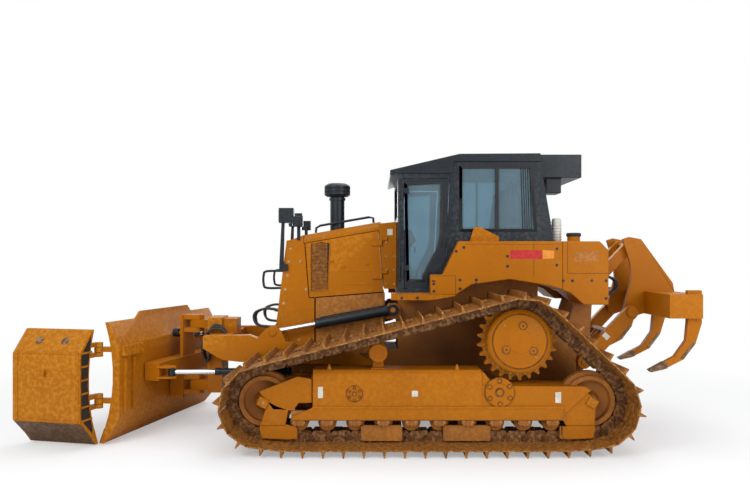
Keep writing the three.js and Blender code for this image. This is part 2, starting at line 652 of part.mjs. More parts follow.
const seatFloor = cab.rearFloor + cab.wall + seat;
const cushion = { front: -450, rear: -1000, half: 260, bottom: 2130, top: 2240, back: 2830 };
part("operator_seat", join(
  box(-900, -560, -200, 200, seatFloor, 2060),
  box(-960, -480, -240, 240, 2050, cushion.bottom - seat),
  sides.map(([, s]) => join(
    box(-900, -560, s * 190, s * 330, 2000, 2050),
    box(-950, -420, s * 290, s * 400, 2000, 2330),
    bar([-470, s * 345, 2320], [-450, s * 345, 2450], 18, 10),
  )),
), "trim");
part("seat_cushion", sidePlate([[cushion.front, cushion.bottom], [cushion.front, cushion.top],
  [-860, cushion.top], [-940, cushion.back], [-1060, cushion.back], [cushion.rear, cushion.bottom]],
-cushion.half, cushion.half), "trim");
part("control_console", join(
  sidePlate([[240, cab.floor + cab.wall + seat], [240, 2330], [120, 2330], [60, 2200], [150, 2100],
    [150, cab.floor + cab.wall + seat]], -330, 330),
), "trim");

const cooler = { front: -1285 - seat, rear: -1790, half: 620, bottom: 2905, top: 3168 };
part("air_conditioner", join(
  sidePlate([[rearWallX(cooler.bottom) - 1, cooler.bottom], [cooler.front, cab.rearTop],
    [cooler.front, cooler.top], [cooler.rear, cooler.top], [cooler.rear, cooler.bottom]],
  -cooler.half, cooler.half),
  box(-1400, -1575, 300, 560, 2735, cooler.bottom + 10),
), "paint");

// ---------- fenders and tank ----------

const archLine = [[-506, 1710], [-920, 1767], [-1336, 1700], [tank.front, 1655]];
for (const [side, s] of sides) {
  const rearX = tank.front;
  const wallOut = cab.half + seat;
  const low = sidePlate([[-430, cab.rearFloor - seat], [-430, 1690], ...archLine,
    [rearX, cab.rearFloor - seat]], s * (hull.half + seat), s * (wallOut + 10));
  const box1 = sidePlate([[stepBox.front, 1600], [stepBox.front, stepBox.top],
    [-192, stepBox.top], [-365, deck.top],
    [rearX, deck.top], [rearX, 1655], ...archLine.slice(0, 3).reverse(), [-333, 1600]],
  s * wallOut, s * deck.outer);
  part(`fender_${side}`, join(low, box1), "paint");
}

function tankSolid() {
  const { front, rear, bottom } = tank;
  const body = sidePlate([[front - seat, 1650], [-1580, 1615], [-1722, bottom], [rear, bottom],
    [rear, 2083], [rear + 95, deck.top], [front - seat, deck.top]], -deck.outer, deck.outer);
  const notch = box(front + 10, rear - 10, -plateOut - 20, plateOut + 20, bottom - 10, 1950);
  const filler = bar([-1660, 760, deck.top - 5], [-1660, 760, deck.top + 95], 70, 16);
  return join(cut(body, notch), filler);
}
part("fuel_tank", tankSolid(), "paint");

// ---------- C-frame ----------

const ear = { gap: 40, thick: 24 }; // half gap and thickness of the lift cylinder's lugs
const lug = { lower: [420, 540], upper: [1165, 1260], radius: 95, hole: 50 };

function cFrameSolid() {
  const { x, z, hole } = trunnion;
  const arm = [[x - 95, z - 40], [x - 40, z - 95], [x + 50, z - 100], [x + 300, 725], [950, 800],
    [2050, 828], [2260, 851], [2480, 980], [2480, 1120], [1960, 1130], [1860, 1090], [1500, 1050],
    [900, 980], [x + 60, z + 110], [x - 60, z + 95]];
  const arms = sides.map(([, s]) => cut(
    sidePlate(arm, s * cFrame.inner, s * cFrame.outer),
    crossPin(x, z, s * (cFrame.inner - 10), s * (cFrame.outer + 10), hole, pinSides),
  ));
  const cross = planPlate([[2210, -cFrame.outer], [2330, -cFrame.outer], [2480, -300],
    [2480, 300], [2330, cFrame.outer], [2210, cFrame.outer]], 880, 1110);
  const nose = box(2360, 2530, -190, 190, 400, 1290);
  const tower = box(2196, 2402, -150, 150, 1068, 1276);
  const nosePlan = [[2500, -150], [blade.pivotX, -lug.radius], [blade.pivotX + 70, -62],
    [blade.pivotX + lug.radius, 0], [blade.pivotX + 70, 62], [blade.pivotX, lug.radius], [2500, 150]];
  const drilled = ([z0, z1]) => cut(planPlate(nosePlan, z0, z1),
    bar([blade.pivotX, 0, z0 - 10], [blade.pivotX, 0, z1 + 10], lug.hole, pinSides));
  const ears = sides.flatMap(([, s]) => [-1, 1].map((k) => {
    const y = s * liftPin.y + k * (ear.gap + ear.thick / 2);
    return sidePlate([[1540, 1050], [1600, 1180], [1650, 1228], [1715, 1235], [1770, 1200],
      [1860, 1110], [1860, 1050]], y - ear.thick / 2, y + ear.thick / 2);
  }));
  const hangers = sides.map(([, s]) => join(
    box(angleBase.x - 90, angleBase.x + 90, s * cFrame.inner, s * cFrame.outer, 772, 830),
    bar([angleBase.x, s * angleBase.y, anglePin.z - 62], [angleBase.x, s * angleBase.y, 790],
      shaftIn(32), pinSides),
  ));
  return join(arms, cross, nose, tower, drilled(lug.lower), drilled(lug.upper), ears, hangers);
}
part("c_frame", cFrameSolid(), "paint");

// ---------- blade ----------
// Its own frame: u forward from the angling axis, v to the left, z up.

const bladeFrame = new THREE.Group();
bladeFrame.position.x = blade.pivotX;
bladeFrame.rotation.z = -rad(blade.angle);
machine.add(bladeFrame);

const bladeTurn = rad(blade.angle);
const toMachine = (u, v) => [
  blade.pivotX + u * Math.cos(bladeTurn) + v * Math.sin(bladeTurn),
  -u * Math.sin(bladeTurn) + v * Math.cos(bladeTurn),
];

// The concave front from the cutting edge up: [distance ahead of the back plane, height].
const moldboard = { tip: 235, crest: 170, hollow: 80 };
function moldboardFront(top) {
  const lower = new THREE.Vector2(moldboard.tip, blade.bottom);
  const upper = new THREE.Vector2(moldboard.crest, top);
  const middle = lower.clone().add(upper).multiplyScalar(0.5);
  const control = new THREE.Vector2(2 * moldboard.hollow - middle.x, middle.y);
  return new THREE.QuadraticBezierCurve(lower, control, upper).getPoints(8).map((p) => p.toArray());
}

const boardSection = (top, back) => [...moldboardFront(top), [moldboard.crest - 35, top],
  [back, top - 240], [back, 300], [moldboard.tip - 130, 120], [moldboard.tip - 40, blade.bottom]];

const hingeLevels = [470, 1020];
const knuckle = { radius: 46, half: 26, plate: 44, pin: 22 };
const hingeU = blade.back + wing.hingeU;

const socketHole = 62; // the blade tilts on a boss in this hole in its back
const socketDepth = 62;

function bladeYokeSolid() {
  const front = blade.back - 15;
  const neck = 150; // the upper post stays this far forward, behind the tilt cylinder
  const crossBar = box(105, front, -720, 720, 620, 820);
  const post = join(box(115, front, -150, 150, 330, 800), box(115, neck, -150, 150, 780, 1320));
  const plates = [lug.lower, lug.upper].flatMap(([z0, z1]) => [z0 - bearing - 55, z1 + bearing])
    .map((z) => planPlate([[-60, -70], [0, -92], [130, -130], [130, 130], [0, 92], [-60, 70],
      [-88, 0]], z, z + 55));
  const pinR = shaftIn(lug.hole);
  const pins2 = [lug.lower, lug.upper].map(([z0, z1]) => bar([0, 0, z0 - run - 20],
    [0, 0, z1 + run + 20], pinR, pinSides));
  const boss = bar([front - 10, 0, blade.tiltZ], [blade.back + socketDepth - bearing, 0, blade.tiltZ],
    shaftIn(socketHole), pinSides);
  const clevis = sides.flatMap(([, s]) => [-1, 1].map((k) => {
    const z = anglePin.z + k * 58;
    return planPlate([[140, s * anglePin.v - 85], [140, s * anglePin.v + 85],
      [anglePin.u, s * anglePin.v + 60], [anglePin.u - 55, s * anglePin.v],
      [anglePin.u, s * anglePin.v - 60]], z - 11, z + 11);
  }));
  const tiltPin = bar([neck - 10, tiltBase.v, tiltBase.z], [tiltEye.u + 45, tiltBase.v, tiltBase.z],
    shaftIn(26), pinSides);
  return join(crossBar, post, plates, pins2, boss, clevis, tiltPin);
}
part("blade_yoke", bladeYokeSolid(), "paint", bladeFrame);

const foldV = blade.half + run / 2; // the fold hinges' distance from the middle
const shifted = (outline, du) => outline.map(([u, z]) => [u + du, z]);

function bladeSolid() {
  const { half, back, top, middleTop, middleHalf } = blade;
  const board = sidePlate(shifted(boardSection(top, 0), back), -half, half);
  const { crest } = moldboard;
  const raised = crossPlate([[-middleHalf - 120, top - 90], [middleHalf + 120, top - 90],
    [middleHalf + 120, top - 20], [middleHalf, middleTop], [-middleHalf, middleTop],
    [-middleHalf - 120, top - 20]], back + crest - 45, back + crest - 15);
  const socket = bar([back - 10, 0, blade.tiltZ], [back + socketDepth, 0, blade.tiltZ], socketHole,
    pinSides);
  const tongues = sides.flatMap(([, s]) => hingeLevels.map((z) => cut(
    join(
      planPlate([[back + 50, s * (half - 110)], [hingeU, s * (foldV - knuckle.radius)],
        [hingeU, s * foldV], [back + 50, s * (half - 5)]], z - knuckle.half, z + knuckle.half),
      bar([hingeU, s * foldV, z - knuckle.half], [hingeU, s * foldV, z + knuckle.half],
        knuckle.radius, pinSides),
    ),
    bar([hingeU, s * foldV, z - 60], [hingeU, s * foldV, z + 60], knuckle.pin, pinSides),
  )));
  const { u, v, z } = tiltEye;
  const bracket = join(
    box(u - 55, u - 32, v - 95, v + 60, z - 70, z + 70),
    box(u - 55, back + 10, v - 95, v - 70, z - 70, z + 70),
  );
  const beams = [-1, 1].map((s) => box(back - 38, back + 5, s * 780, s * (half - 40), 950, 1060));
  return join(cut(board, socket), raised, tongues, bracket, beams);
}
part("blade", bladeSolid(), "paint", bladeFrame);

// A wing swings about its two hinges; here it is drawn unfolded, then turned forward.
function wingSolid(s) {
  const du = -wing.hingeU;
  const start = run / 2;
  const board = sidePlate(shifted(boardSection(wing.top, wing.back), du), s * start,
    s * wing.length);
  const arms = hingeLevels.flatMap((level) => {
    const low = level - knuckle.half - run - knuckle.plate;
    const high = level + knuckle.half + run;
    return [low, high].map((z) => join(
      planPlate([[du + 50, s * 110], [0, s * knuckle.radius], [0, 0], [du + 50, s * (start + 2)]],
        z, z + knuckle.plate),
      bar([0, 0, z], [0, 0, z + knuckle.plate], knuckle.radius, pinSides),
    ));
  });
  const rods = hingeLevels.map((z) => bar([0, 0, z - 70], [0, 0, z + 70], shaftIn(knuckle.pin),
    pinSides));
  return join(board, arms, rods);
}
for (const [side, s] of sides) {
  const hinge = new THREE.Group();
  hinge.position.set(hingeU, s * foldV, 0);
  hinge.rotation.z = -s * rad(wing.fold);
  bladeFrame.add(hinge);
  part(`wing_${side}`, wingSolid(s), "paint", hinge);
}

// ---------- cylinders ----------
// Each is drawn along +X from its rear pin, whose axis is Y, and then placed.

function barrelSolid({ length, radius, rod, eye, hole, halfWidth }) {
  const tube = bar([eye * 0.6, 0, 0], [length, 0, 0], radius);
  const gland = bar([length - 55, 0, 0], [length, 0, 0], radius + 6);
  const ring = crossPin(0, 0, -halfWidth, halfWidth, eye, pinSides);
  const bore = bar([eye + 12, 0, 0], [length + 5, 0, 0], rod + seat * 2);
  return cut(join(tube, gland, ring), bore,
    crossPin(0, 0, -halfWidth - 5, halfWidth + 5, hole, pinSides));
}

function rodSolid({ span, reach, rod, rodEye, rodHalf }) {
  return join(bar([span - reach, 0, 0], [span, 0, 0], rod),
    crossPin(span, 0, -rodHalf, rodHalf, rodEye, pinSides));
}

// Barrel and rod share a group, turned so that +X points from the base pin to the rod's eye.
function cylinder(name, base, end, roll, spec, parent = machine) {
  const group = new THREE.Group();
  const from = new THREE.Vector3(...base);
  const along = new THREE.Vector3(...end).sub(from);
  const span = along.length();
  along.normalize();
  const across = new THREE.Vector3(...roll);
  const third = along.clone().cross(across);
  group.position.copy(from);
  group.quaternion.setFromRotationMatrix(new THREE.Matrix4().makeBasis(along, across, third));
  parent.add(group);
  part(name.replace("cylinder", "barrel"), barrelSolid(spec), "black", group);
  part(name.replace("cylinder", "rod"), rodSolid({ ...spec, span }), "chrome", group);
}

const liftRam = { length: 894, radius: 55, rod: 32, eye: 62, hole: 32, halfWidth: 50, reach: 689,
  rodEye: 46, rodHalf: ear.gap - 7 };
const angleRam = { length: 800, radius: 38, rod: 26, eye: 58, hole: 32, halfWidth: 40, reach: 664,
  rodEye: 45, rodHalf: 40 };
const tiltRam = { length: 540, radius: 40, rod: 24, eye: 50, hole: 26, halfWidth: 38, reach: 286,
  rodEye: 44, rodHalf: 26 };
const ripperRam = { length: 720, radius: 48, rod: 28, eye: 56, hole: linkHole, halfWidth: 44,
  reach: 735, rodEye: 40, rodHalf: 38 };

for (const [side, s] of sides) {
  cylinder(`lift_cylinder_${side}`, [liftBase.x, s * liftPin.y, liftBase.z],
    [liftPin.x, s * liftPin.y, liftPin.z], [0, 1, 0], liftRam);
  const [x, y] = toMachine(anglePin.u, s * anglePin.v);
  cylinder(`angle_cylinder_${side}`, [angleBase.x, s * angleBase.y, anglePin.z],
    [x, y, anglePin.z], [0, 0, 1], angleRam);
}
cylinder("tilt_cylinder", [tiltEye.u, tiltBase.v, tiltBase.z], [tiltEye.u, tiltEye.v, tiltEye.z],
  [1, 0, 0], tiltRam, bladeFrame);

// ---------- ripper ----------

// A flat bar with round ends between two points of the side view.
function strap(p, q, radius) {
  const lean = Math.atan2(q[1] - p[1], q[0] - p[0]);
  const arc = (c, from) => Array.from({ length: 7 }, (_, i) => {
    const angle = lean + from + (i * Math.PI) / 6;
    return [c[0] + radius * Math.cos(angle), c[1] + radius * Math.sin(angle)];
  });
  return [...arc(q, -Math.PI / 2), ...arc(p, Math.PI / 2)];
}
const along = (p, q, share) => [p[0] + (q[0] - p[0]) * share, p[1] + (q[1] - p[1]) * share];
const ramFoot = along(rearPins.lower, rearPins.lowerEnd, ripper.ramArm / ripper.link);

function armPair(p, q, { inner, outer }, radius) {
  return [-1, 1].map((s) => cut(
    sidePlate(strap(p, q, radius), s * inner, s * outer),
    [p, q].map(([x, z]) => crossPin(x, z, s * (inner - 5), s * (outer + 5), linkHole, pinSides)),
  ));
}

function lowerLinkSolid() {
  const { lower, lowerEnd } = rearPins;
  const tube = along(lower, lowerEnd, 0.58);
  const lugs = [-1, 1].map((s) => sidePlate(strap(ramFoot, tube, 42),
    s * (ripperRam.rodHalf + 8), s * (ripperRam.rodHalf + 30)));
  return join(armPair(lower, lowerEnd, lowerArm, 78),
    crossPin(...tube, -lowerArm.inner - 5, lowerArm.inner + 5, 45, 20), lugs);
}

function upperLinkSolid() {
  const { upper, upperEnd } = rearPins;
  const tube = along(upper, upperEnd, 0.62);
  return join(armPair(upper, upperEnd, upperArm, 62),
    crossPin(...tube, -upperArm.inner - 5, upperArm.inner + 5, 45, 20));
}

const beam = { front: -2600, rear: -2955, bottom: 1352, top: 1610 };
function shankOutline() {
  const [x0, x1] = [beam.rear - 17, beam.rear + 135];
  return [[x0, beam.top + 40], [x0, 1300], [-2905, 1080], [-2770, 905], [-2560, 798], [-2425, 768],
    [-2400, 792], [-2680, 940], [-2800, 1110], [x1, 1310], [x1, beam.top + 40]];
}

function ripperBeamSolid() {
  const { lowerEnd, upperEnd } = rearPins;
  const [bx, bz] = lowerEnd;
  const tower = [[bx + 60, bz - 30], [bx + 60, bz + 60], [bx - 24, 1754], [bx - 12, 1940],
    [upperEnd[0] + 120, upperEnd[1] + 70], [upperEnd[0] + 48, upperEnd[1] + 95],
    [upperEnd[0] - 92, upperEnd[1] + 70], [-2943, 1707], [-2960, 1602], [-2960, beam.bottom],
    [-2600, beam.bottom], [bx - 20, bz - 70]];
  const towers = [-1, 1].map((s) => sidePlate(tower, s * plateIn, s * plateOut));
  const bed = box(beam.rear, beam.front, -ripper.beamHalf, ripper.beamHalf, beam.bottom, beam.top);
  const shanks = [-1, 0, 1].map((k) => sidePlate(shankOutline(), k * ripper.shankY - 34,
    k * ripper.shankY + 34));
  const pinR = shaftIn(linkHole);
  return join(bed, towers, shanks,
    crossPin(...upperEnd, -plateIn - 5, plateIn + 5, pinR, pinSides),
    [-1, 1].map((s) => crossPin(...lowerEnd, s * (plateOut - 5), s * (lowerArm.outer + 6), pinR,
      pinSides)));
}

part("ripper_lower_link", lowerLinkSolid(), "paint");
part("ripper_upper_link", upperLinkSolid(), "paint");
part("ripper_beam", ripperBeamSolid(), "paint");
cylinder("ripper_cylinder", [rearPins.ram[0], 0, rearPins.ram[1]], [ramFoot[0], 0, ramFoot[1]],
  [0, 1, 0], ripperRam);

// ---------- origin ----------

machine.updateMatrixWorld(true);
const extent = new THREE.Box3().setFromObject(machine, true);
const middle = extent.getCenter(new THREE.Vector3());
machine.position.set(-middle.x, -middle.y, -extent.min.z);
machine.updateMatrixWorld(true);

export default machine;
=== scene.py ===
import json
import math

import bmesh
import bpy
from mathutils import Matrix, Vector

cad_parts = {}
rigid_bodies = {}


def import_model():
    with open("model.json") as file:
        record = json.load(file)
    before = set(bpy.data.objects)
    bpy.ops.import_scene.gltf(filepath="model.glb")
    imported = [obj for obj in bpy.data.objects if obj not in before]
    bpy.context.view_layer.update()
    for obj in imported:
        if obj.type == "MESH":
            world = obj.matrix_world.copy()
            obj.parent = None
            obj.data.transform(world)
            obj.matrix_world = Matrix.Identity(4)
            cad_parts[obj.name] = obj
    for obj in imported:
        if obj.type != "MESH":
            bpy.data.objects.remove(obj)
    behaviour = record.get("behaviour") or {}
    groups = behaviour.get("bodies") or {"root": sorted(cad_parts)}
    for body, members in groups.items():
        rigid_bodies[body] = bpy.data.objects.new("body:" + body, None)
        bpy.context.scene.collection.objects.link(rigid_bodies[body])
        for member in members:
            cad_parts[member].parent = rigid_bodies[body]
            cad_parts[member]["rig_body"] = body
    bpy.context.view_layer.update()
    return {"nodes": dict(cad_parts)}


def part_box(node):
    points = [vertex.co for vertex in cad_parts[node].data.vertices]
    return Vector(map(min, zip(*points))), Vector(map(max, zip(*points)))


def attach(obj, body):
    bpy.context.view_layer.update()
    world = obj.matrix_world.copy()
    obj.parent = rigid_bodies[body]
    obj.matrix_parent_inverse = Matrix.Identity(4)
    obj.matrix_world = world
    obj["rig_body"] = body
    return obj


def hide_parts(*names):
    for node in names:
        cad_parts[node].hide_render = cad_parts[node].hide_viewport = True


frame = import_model()
scene = bpy.context.scene


# ---------------------------------------------------------------------------
# Studio. A pale floor, soft white light from the sky and four large lamps, and a camera level
# with the engine doors that looks square at the machine's left side.
# ---------------------------------------------------------------------------

def middle(node):
    """The middle of one of the frame's own pieces."""
    low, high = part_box(node)
    return (Vector(low) + Vector(high)) / 2


home = (middle("front_idler_left") + middle("rear_idler_right")) / 2


def at(x, y, z):
    """Workshop millimetres, from midway between the idlers on the ground, as a place in metres."""
    return Vector((home.x + x / 1000, home.y + y / 1000, z / 1000))


def reckoned(nodes, links, a, b, operation="MULTIPLY", clamp=True):
    """The output of one sum on two numbers or sockets: their product, unless another is named."""
    node = nodes.new("ShaderNodeMath")
    node.operation = operation
    node.use_clamp = clamp
    for socket, value in zip(node.inputs, (a, b)):
        if isinstance(value, (int, float)):
            socket.default_value = value
        else:
            links.new(value, socket)
    return node.outputs[0]


def mapped(nodes, links, value, start, stop, low, high):
    """A socket's value between start and stop, laid onto low to high and held there."""
    node = nodes.new("ShaderNodeMapRange")
    for key, number in (("From Min", start), ("From Max", stop), ("To Min", low), ("To Max", high)):
        node.inputs[key].default_value = number
    links.new(value, node.inputs["Value"])
    return node.outputs[0]


def blended(nodes, links, factor, one, other):
    """The output of two shaders mixed by a factor."""
    node = nodes.new("ShaderNodeMixShader")
    for socket, value in zip(node.inputs, (factor, one, other)):
        links.new(value, socket)
    return node.outputs[0]


def blank_finish(name):
    """A new material: (material, its nodes, its links, its principled shader)."""
    material = bpy.data.materials.new(name)
    material.use_nodes = True
    nodes = material.node_tree.nodes
    return material, nodes, material.node_tree.links, nodes["Principled BSDF"]


scene.view_settings.view_transform = "Standard"
camera = bpy.data.objects.new("camera", bpy.data.cameras.new("camera"))
scene.collection.objects.link(camera)
camera.location = at(543, 8850, 1990)
camera.rotation_euler = (math.radians(90), 0, math.radians(180))
camera.data.lens = 35.0
camera.data.sensor_width = 36.0
camera.data.shift_y = 8.75 / 750
camera.data.clip_end = 200
scene.camera = camera

lamps = (("key", (5200, 7800, 6400), 5.0, 470), ("fill", (-5200, 6500, 3600), 5.0, 260),
         ("top", (-500, -500, 8200), 6.0, 250), ("back", (0, -8000, 4500), 6.0, 240))
for name, place, size, watts in lamps:
    lamp = bpy.data.objects.new(name, bpy.data.lights.new(name, "AREA"))
    scene.collection.objects.link(lamp)
    lamp.location = at(*place)
    aim = at(0, 0, 1200) - lamp.location
    lamp.rotation_euler = aim.to_track_quat("-Z", "Y").to_euler()
    lamp.data.size = size
    lamp.data.energy = watts

# The sky lights the machine softly, and is plain white where it is looked at or mirrored.
world = bpy.data.worlds.new("sky")
scene.world = world
world.use_nodes = True
nodes, links = world.node_tree.nodes, world.node_tree.links
nodes.clear()
rays = nodes.new("ShaderNodeLightPath").outputs
seen = reckoned(nodes, links, rays["Is Camera Ray"], rays["Is Glossy Ray"], "MAXIMUM", clamp=False)
seen = reckoned(nodes, links, seen, rays["Is Transmission Ray"], "MAXIMUM", clamp=False)
skies = []
for colour, strength in (((0.9, 0.95, 1.0, 1), 0.48), ((1, 1, 1, 1), 1.0)):
    sky = nodes.new("ShaderNodeBackground")
    sky.inputs["Color"].default_value = colour
    sky.inputs["Strength"].default_value = strength
    skies.append(sky.outputs[0])
out = nodes.new("ShaderNodeOutputWorld")
links.new(blended(nodes, links, seen, *skies), out.inputs["Surface"])

# The floor fades to plain white for the camera, between two distances from its middle in metres.
floor_half, fade_start, fade_stop = 60, 3.2, 7.5
floor_mesh = bpy.data.meshes.new("floor")
floor_mesh.from_pydata([(-floor_half, -floor_half, 0), (floor_half, -floor_half, 0),
                        (floor_half, floor_half, 0), (-floor_half, floor_half, 0)], [], [(0, 1, 2, 3)])
floor = bpy.data.objects.new("floor", floor_mesh)
scene.collection.objects.link(floor)
floor_finish, nodes, links, principled = blank_finish("studio_floor")
principled.inputs["Base Color"].default_value = (0.93, 0.93, 0.93, 1)
principled.inputs["Roughness"].default_value = 0.9
away = nodes.new("ShaderNodeVectorMath")
away.operation = "LENGTH"
links.new(nodes.new("ShaderNodeTexCoord").outputs["Object"], away.inputs[0])
fade = mapped(nodes, links, away.outputs["Value"], fade_start, fade_stop, 0.35, 1.0)
looked_at = nodes.new("ShaderNodeLightPath").outputs["Is Camera Ray"]
shown_white = reckoned(nodes, links, looked_at, fade, clamp=False)
white = nodes.new("ShaderNodeEmission")
links.new(blended(nodes, links, shown_white, principled.outputs[0], white.outputs[0]),
          nodes["Material Output"].inputs["Surface"])
floor_mesh.materials.append(floor_finish)


# ---------------------------------------------------------------------------
# Tracks. Each is a closed chain of cast links on pins, with a wide steel shoe bolted to every
# pair. A shoe has one tall bar across it, and its bare edges polish brown where soil rubs them.
# ---------------------------------------------------------------------------

def shader_group(name, inputs, outputs):
    """An empty shader node group with named sockets: (group, its nodes, its links, in, out)."""
    group = bpy.data.node_groups.new(name, "ShaderNodeTree")
    kinds = {"colour": "NodeSocketColor", "value": "NodeSocketFloat"}
    for label, kind, value in inputs:
        socket = group.interface.new_socket(label, in_out="INPUT", socket_type=kinds[kind])
        socket.default_value = value
    for label, kind in outputs:
        group.interface.new_socket(label, in_out="OUTPUT", socket_type=kinds[kind])
    source = group.nodes.new("NodeGroupInput")
    sink = group.nodes.new("NodeGroupOutput")
    return group, group.nodes, group.links, source, sink


def ramp(nodes, links, value, stops):
    """A socket's value through a ramp of greys, given by the place and the tone of two stops."""
    node = nodes.new("ShaderNodeValToRGB")
    for element, (position, tone) in zip(node.color_ramp.elements, stops):
        element.position = position
        element.color = (tone, tone, tone, 1)
    links.new(value, node.inputs[0])
    return node.outputs[0]


def mixed(nodes, links, factor, a, b):
    """The colour output of a Mix node between two sockets."""
    node = nodes.new("ShaderNodeMix")
    node.data_type = "RGBA"
    links.new(factor, node.inputs["Factor"])
    links.new(a, node.inputs["A"])
    links.new(b, node.inputs["B"])
    return node.outputs["Result"]


def cloudy(nodes, links, place, scale, detail, roughness=0.5):
    """The value of a noise over a piece; its scale is a number or a socket."""
    node = nodes.new("ShaderNodeTexNoise")
    node.inputs["Detail"].default_value = detail
    node.inputs["Roughness"].default_value = roughness
    links.new(place, node.inputs["Vector"])
    if isinstance(scale, float):
        node.inputs["Scale"].default_value = scale
    else:
        links.new(scale, node.inputs["Scale"])
    return node.outputs["Fac"]


# Slow drifts of tone across a panel, as brushed and sprayed paint or cast metal has.
mottle, nodes, links, source, sink = shader_group(
    "mottle", [("Light", "colour", (1, 1, 1, 1)), ("Dark", "colour", (0, 0, 0, 1)), ("Scale", "value", 2.0)],
    [("Colour", "colour")])
place = nodes.new("ShaderNodeTexCoord").outputs["Object"]
drift = cloudy(nodes, links, place, source.outputs["Scale"], 5, 0.6)
spread = ramp(nodes, links, drift, [(0.36, 0), (0.66, 1)])
links.new(mixed(nodes, links, spread, source.outputs["Light"], source.outputs["Dark"]),
          sink.inputs["Colour"])

# Dry dust: it lies on faces that look up, and thickens towards the ground.
dusty, nodes, links, source, sink = shader_group(
    "dusty", [("Colour", "colour", (1, 1, 1, 1)), ("Dust", "colour", (0.3, 0.2, 0.1, 1)),
              ("Amount", "value", 0.4)], [("Colour", "colour"), ("Mask", "value")])
place = nodes.new("ShaderNodeTexCoord").outputs["Object"]
height = nodes.new("ShaderNodeSeparateXYZ")
links.new(place, height.inputs[0])
low = mapped(nodes, links, height.outputs["Z"], 0.0, 1.7, 0.75, 0.06)
up = nodes.new("ShaderNodeSeparateXYZ")
links.new(nodes.new("ShaderNodeNewGeometry").outputs["Normal"], up.inputs[0])
lying = mapped(nodes, links, up.outputs["Z"], 0.35, 1.0, 0.0, 0.5)
patches = ramp(nodes, links, cloudy(nodes, links, place, 7.0, 9, 0.68), [(0.38, 0.1), (0.72, 1)])
both = reckoned(nodes, links, low, lying, "ADD")
mask = reckoned(nodes, links, reckoned(nodes, links, both, patches), source.outputs["Amount"])
links.new(mixed(nodes, links, mask, source.outputs["Colour"], source.outputs["Dust"]), sink.inputs["Colour"])
links.new(mask, sink.inputs["Mask"])

# Wear: proud edges rub through to a paler or bare finish, broken up by fine scratches.
worn, nodes, links, source, sink = shader_group(
    "worn_edges", [("Colour", "colour", (1, 1, 1, 1)), ("Bare", "colour", (0.4, 0.4, 0.4, 1)),
                   ("Amount", "value", 0.5)], [("Colour", "colour"), ("Mask", "value")])
proud = nodes.new("ShaderNodeNewGeometry").outputs["Pointiness"]
edge = ramp(nodes, links, proud, [(0.52, 0), (0.60, 1)])
place = nodes.new("ShaderNodeTexCoord").outputs["Object"]
broken = ramp(nodes, links, cloudy(nodes, links, place, 26.0, 8), [(0.44, 0.05), (0.62, 1)])
mask = reckoned(nodes, links, reckoned(nodes, links, edge, broken), source.outputs["Amount"])
links.new(mixed(nodes, links, mask, source.outputs["Colour"], source.outputs["Bare"]), sink.inputs["Colour"])
links.new(mask, sink.inputs["Mask"])

# Skin: the fine relief of a surface, from sprayed paint to sand-cast steel.
skin, nodes, links, source, sink = shader_group(
    "skin", [("Scale", "value", 90.0), ("Pits", "value", 0.3)], [("Height", "value")])
place = nodes.new("ShaderNodeTexCoord").outputs["Object"]
grit = cloudy(nodes, links, place, source.outputs["Scale"], 6)
cells = nodes.new("ShaderNodeTexVoronoi")
links.new(place, cells.inputs["Vector"])
links.new(source.outputs["Scale"], cells.inputs["Scale"])
pits = reckoned(nodes, links, cells.outputs["Distance"], source.outputs["Pits"])
links.new(reckoned(nodes, links, grit, pits, "ADD", clamp=False), sink.inputs["Height"])


def placed(nodes, group, **values):
    """One of the groups above in a material, with the values of its sockets."""
    node = nodes.new("ShaderNodeGroup")
    node.node_tree = group
    for key, value in values.items():
        node.inputs[key].default_value = (*value, 1) if isinstance(value, tuple) else value
    return node


def embossed(nodes, links, principled, height, strength, distance):
    """Lays a relief over a material; the distance is its greatest depth in metres."""
    bump = nodes.new("ShaderNodeBump")
    bump.inputs["Strength"].default_value = strength
    bump.inputs["Distance"].default_value = distance
    links.new(height, bump.inputs["Height"])
    links.new(bump.outputs["Normal"], principled.inputs["Normal"])


def surface(name, light, dark, roughness, metallic=0.0, mottling=2.0, dust=(0.24, 0.12, 0.045), dusting=0.4,
            bare=(0.5, 0.33, 0.12), wear=0.4, grain=90.0, pits=0.3, relief=0.08, coat=0.0, specular=0.35):
    """A finish for a hard piece: mottled colour, dust, worn edges and a fine relief."""
    material, nodes, links, principled = blank_finish(name)
    for key, value in (("Metallic", metallic), ("Specular IOR Level", specular), ("Coat Weight", coat),
                       ("Coat Roughness", 0.15)):
        principled.inputs[key].default_value = value
    tone = placed(nodes, mottle, Light=light, Dark=dark, Scale=mottling)
    rubbed = placed(nodes, worn, Bare=bare, Amount=wear)
    covered = placed(nodes, dusty, Dust=dust, Amount=dusting)
    relieved = placed(nodes, skin, Scale=grain, Pits=pits)
    links.new(tone.outputs["Colour"], rubbed.inputs["Colour"])
    links.new(rubbed.outputs["Colour"], covered.inputs["Colour"])
    links.new(covered.outputs["Colour"], principled.inputs["Base Color"])
    dull = mapped(nodes, links, covered.outputs["Mask"], 0.0, 1.0, roughness, min(1.0, roughness + 0.45))
    links.new(dull, principled.inputs["Roughness"])
    embossed(nodes, links, principled, relieved.outputs["Height"], relief, 0.002)
    return material


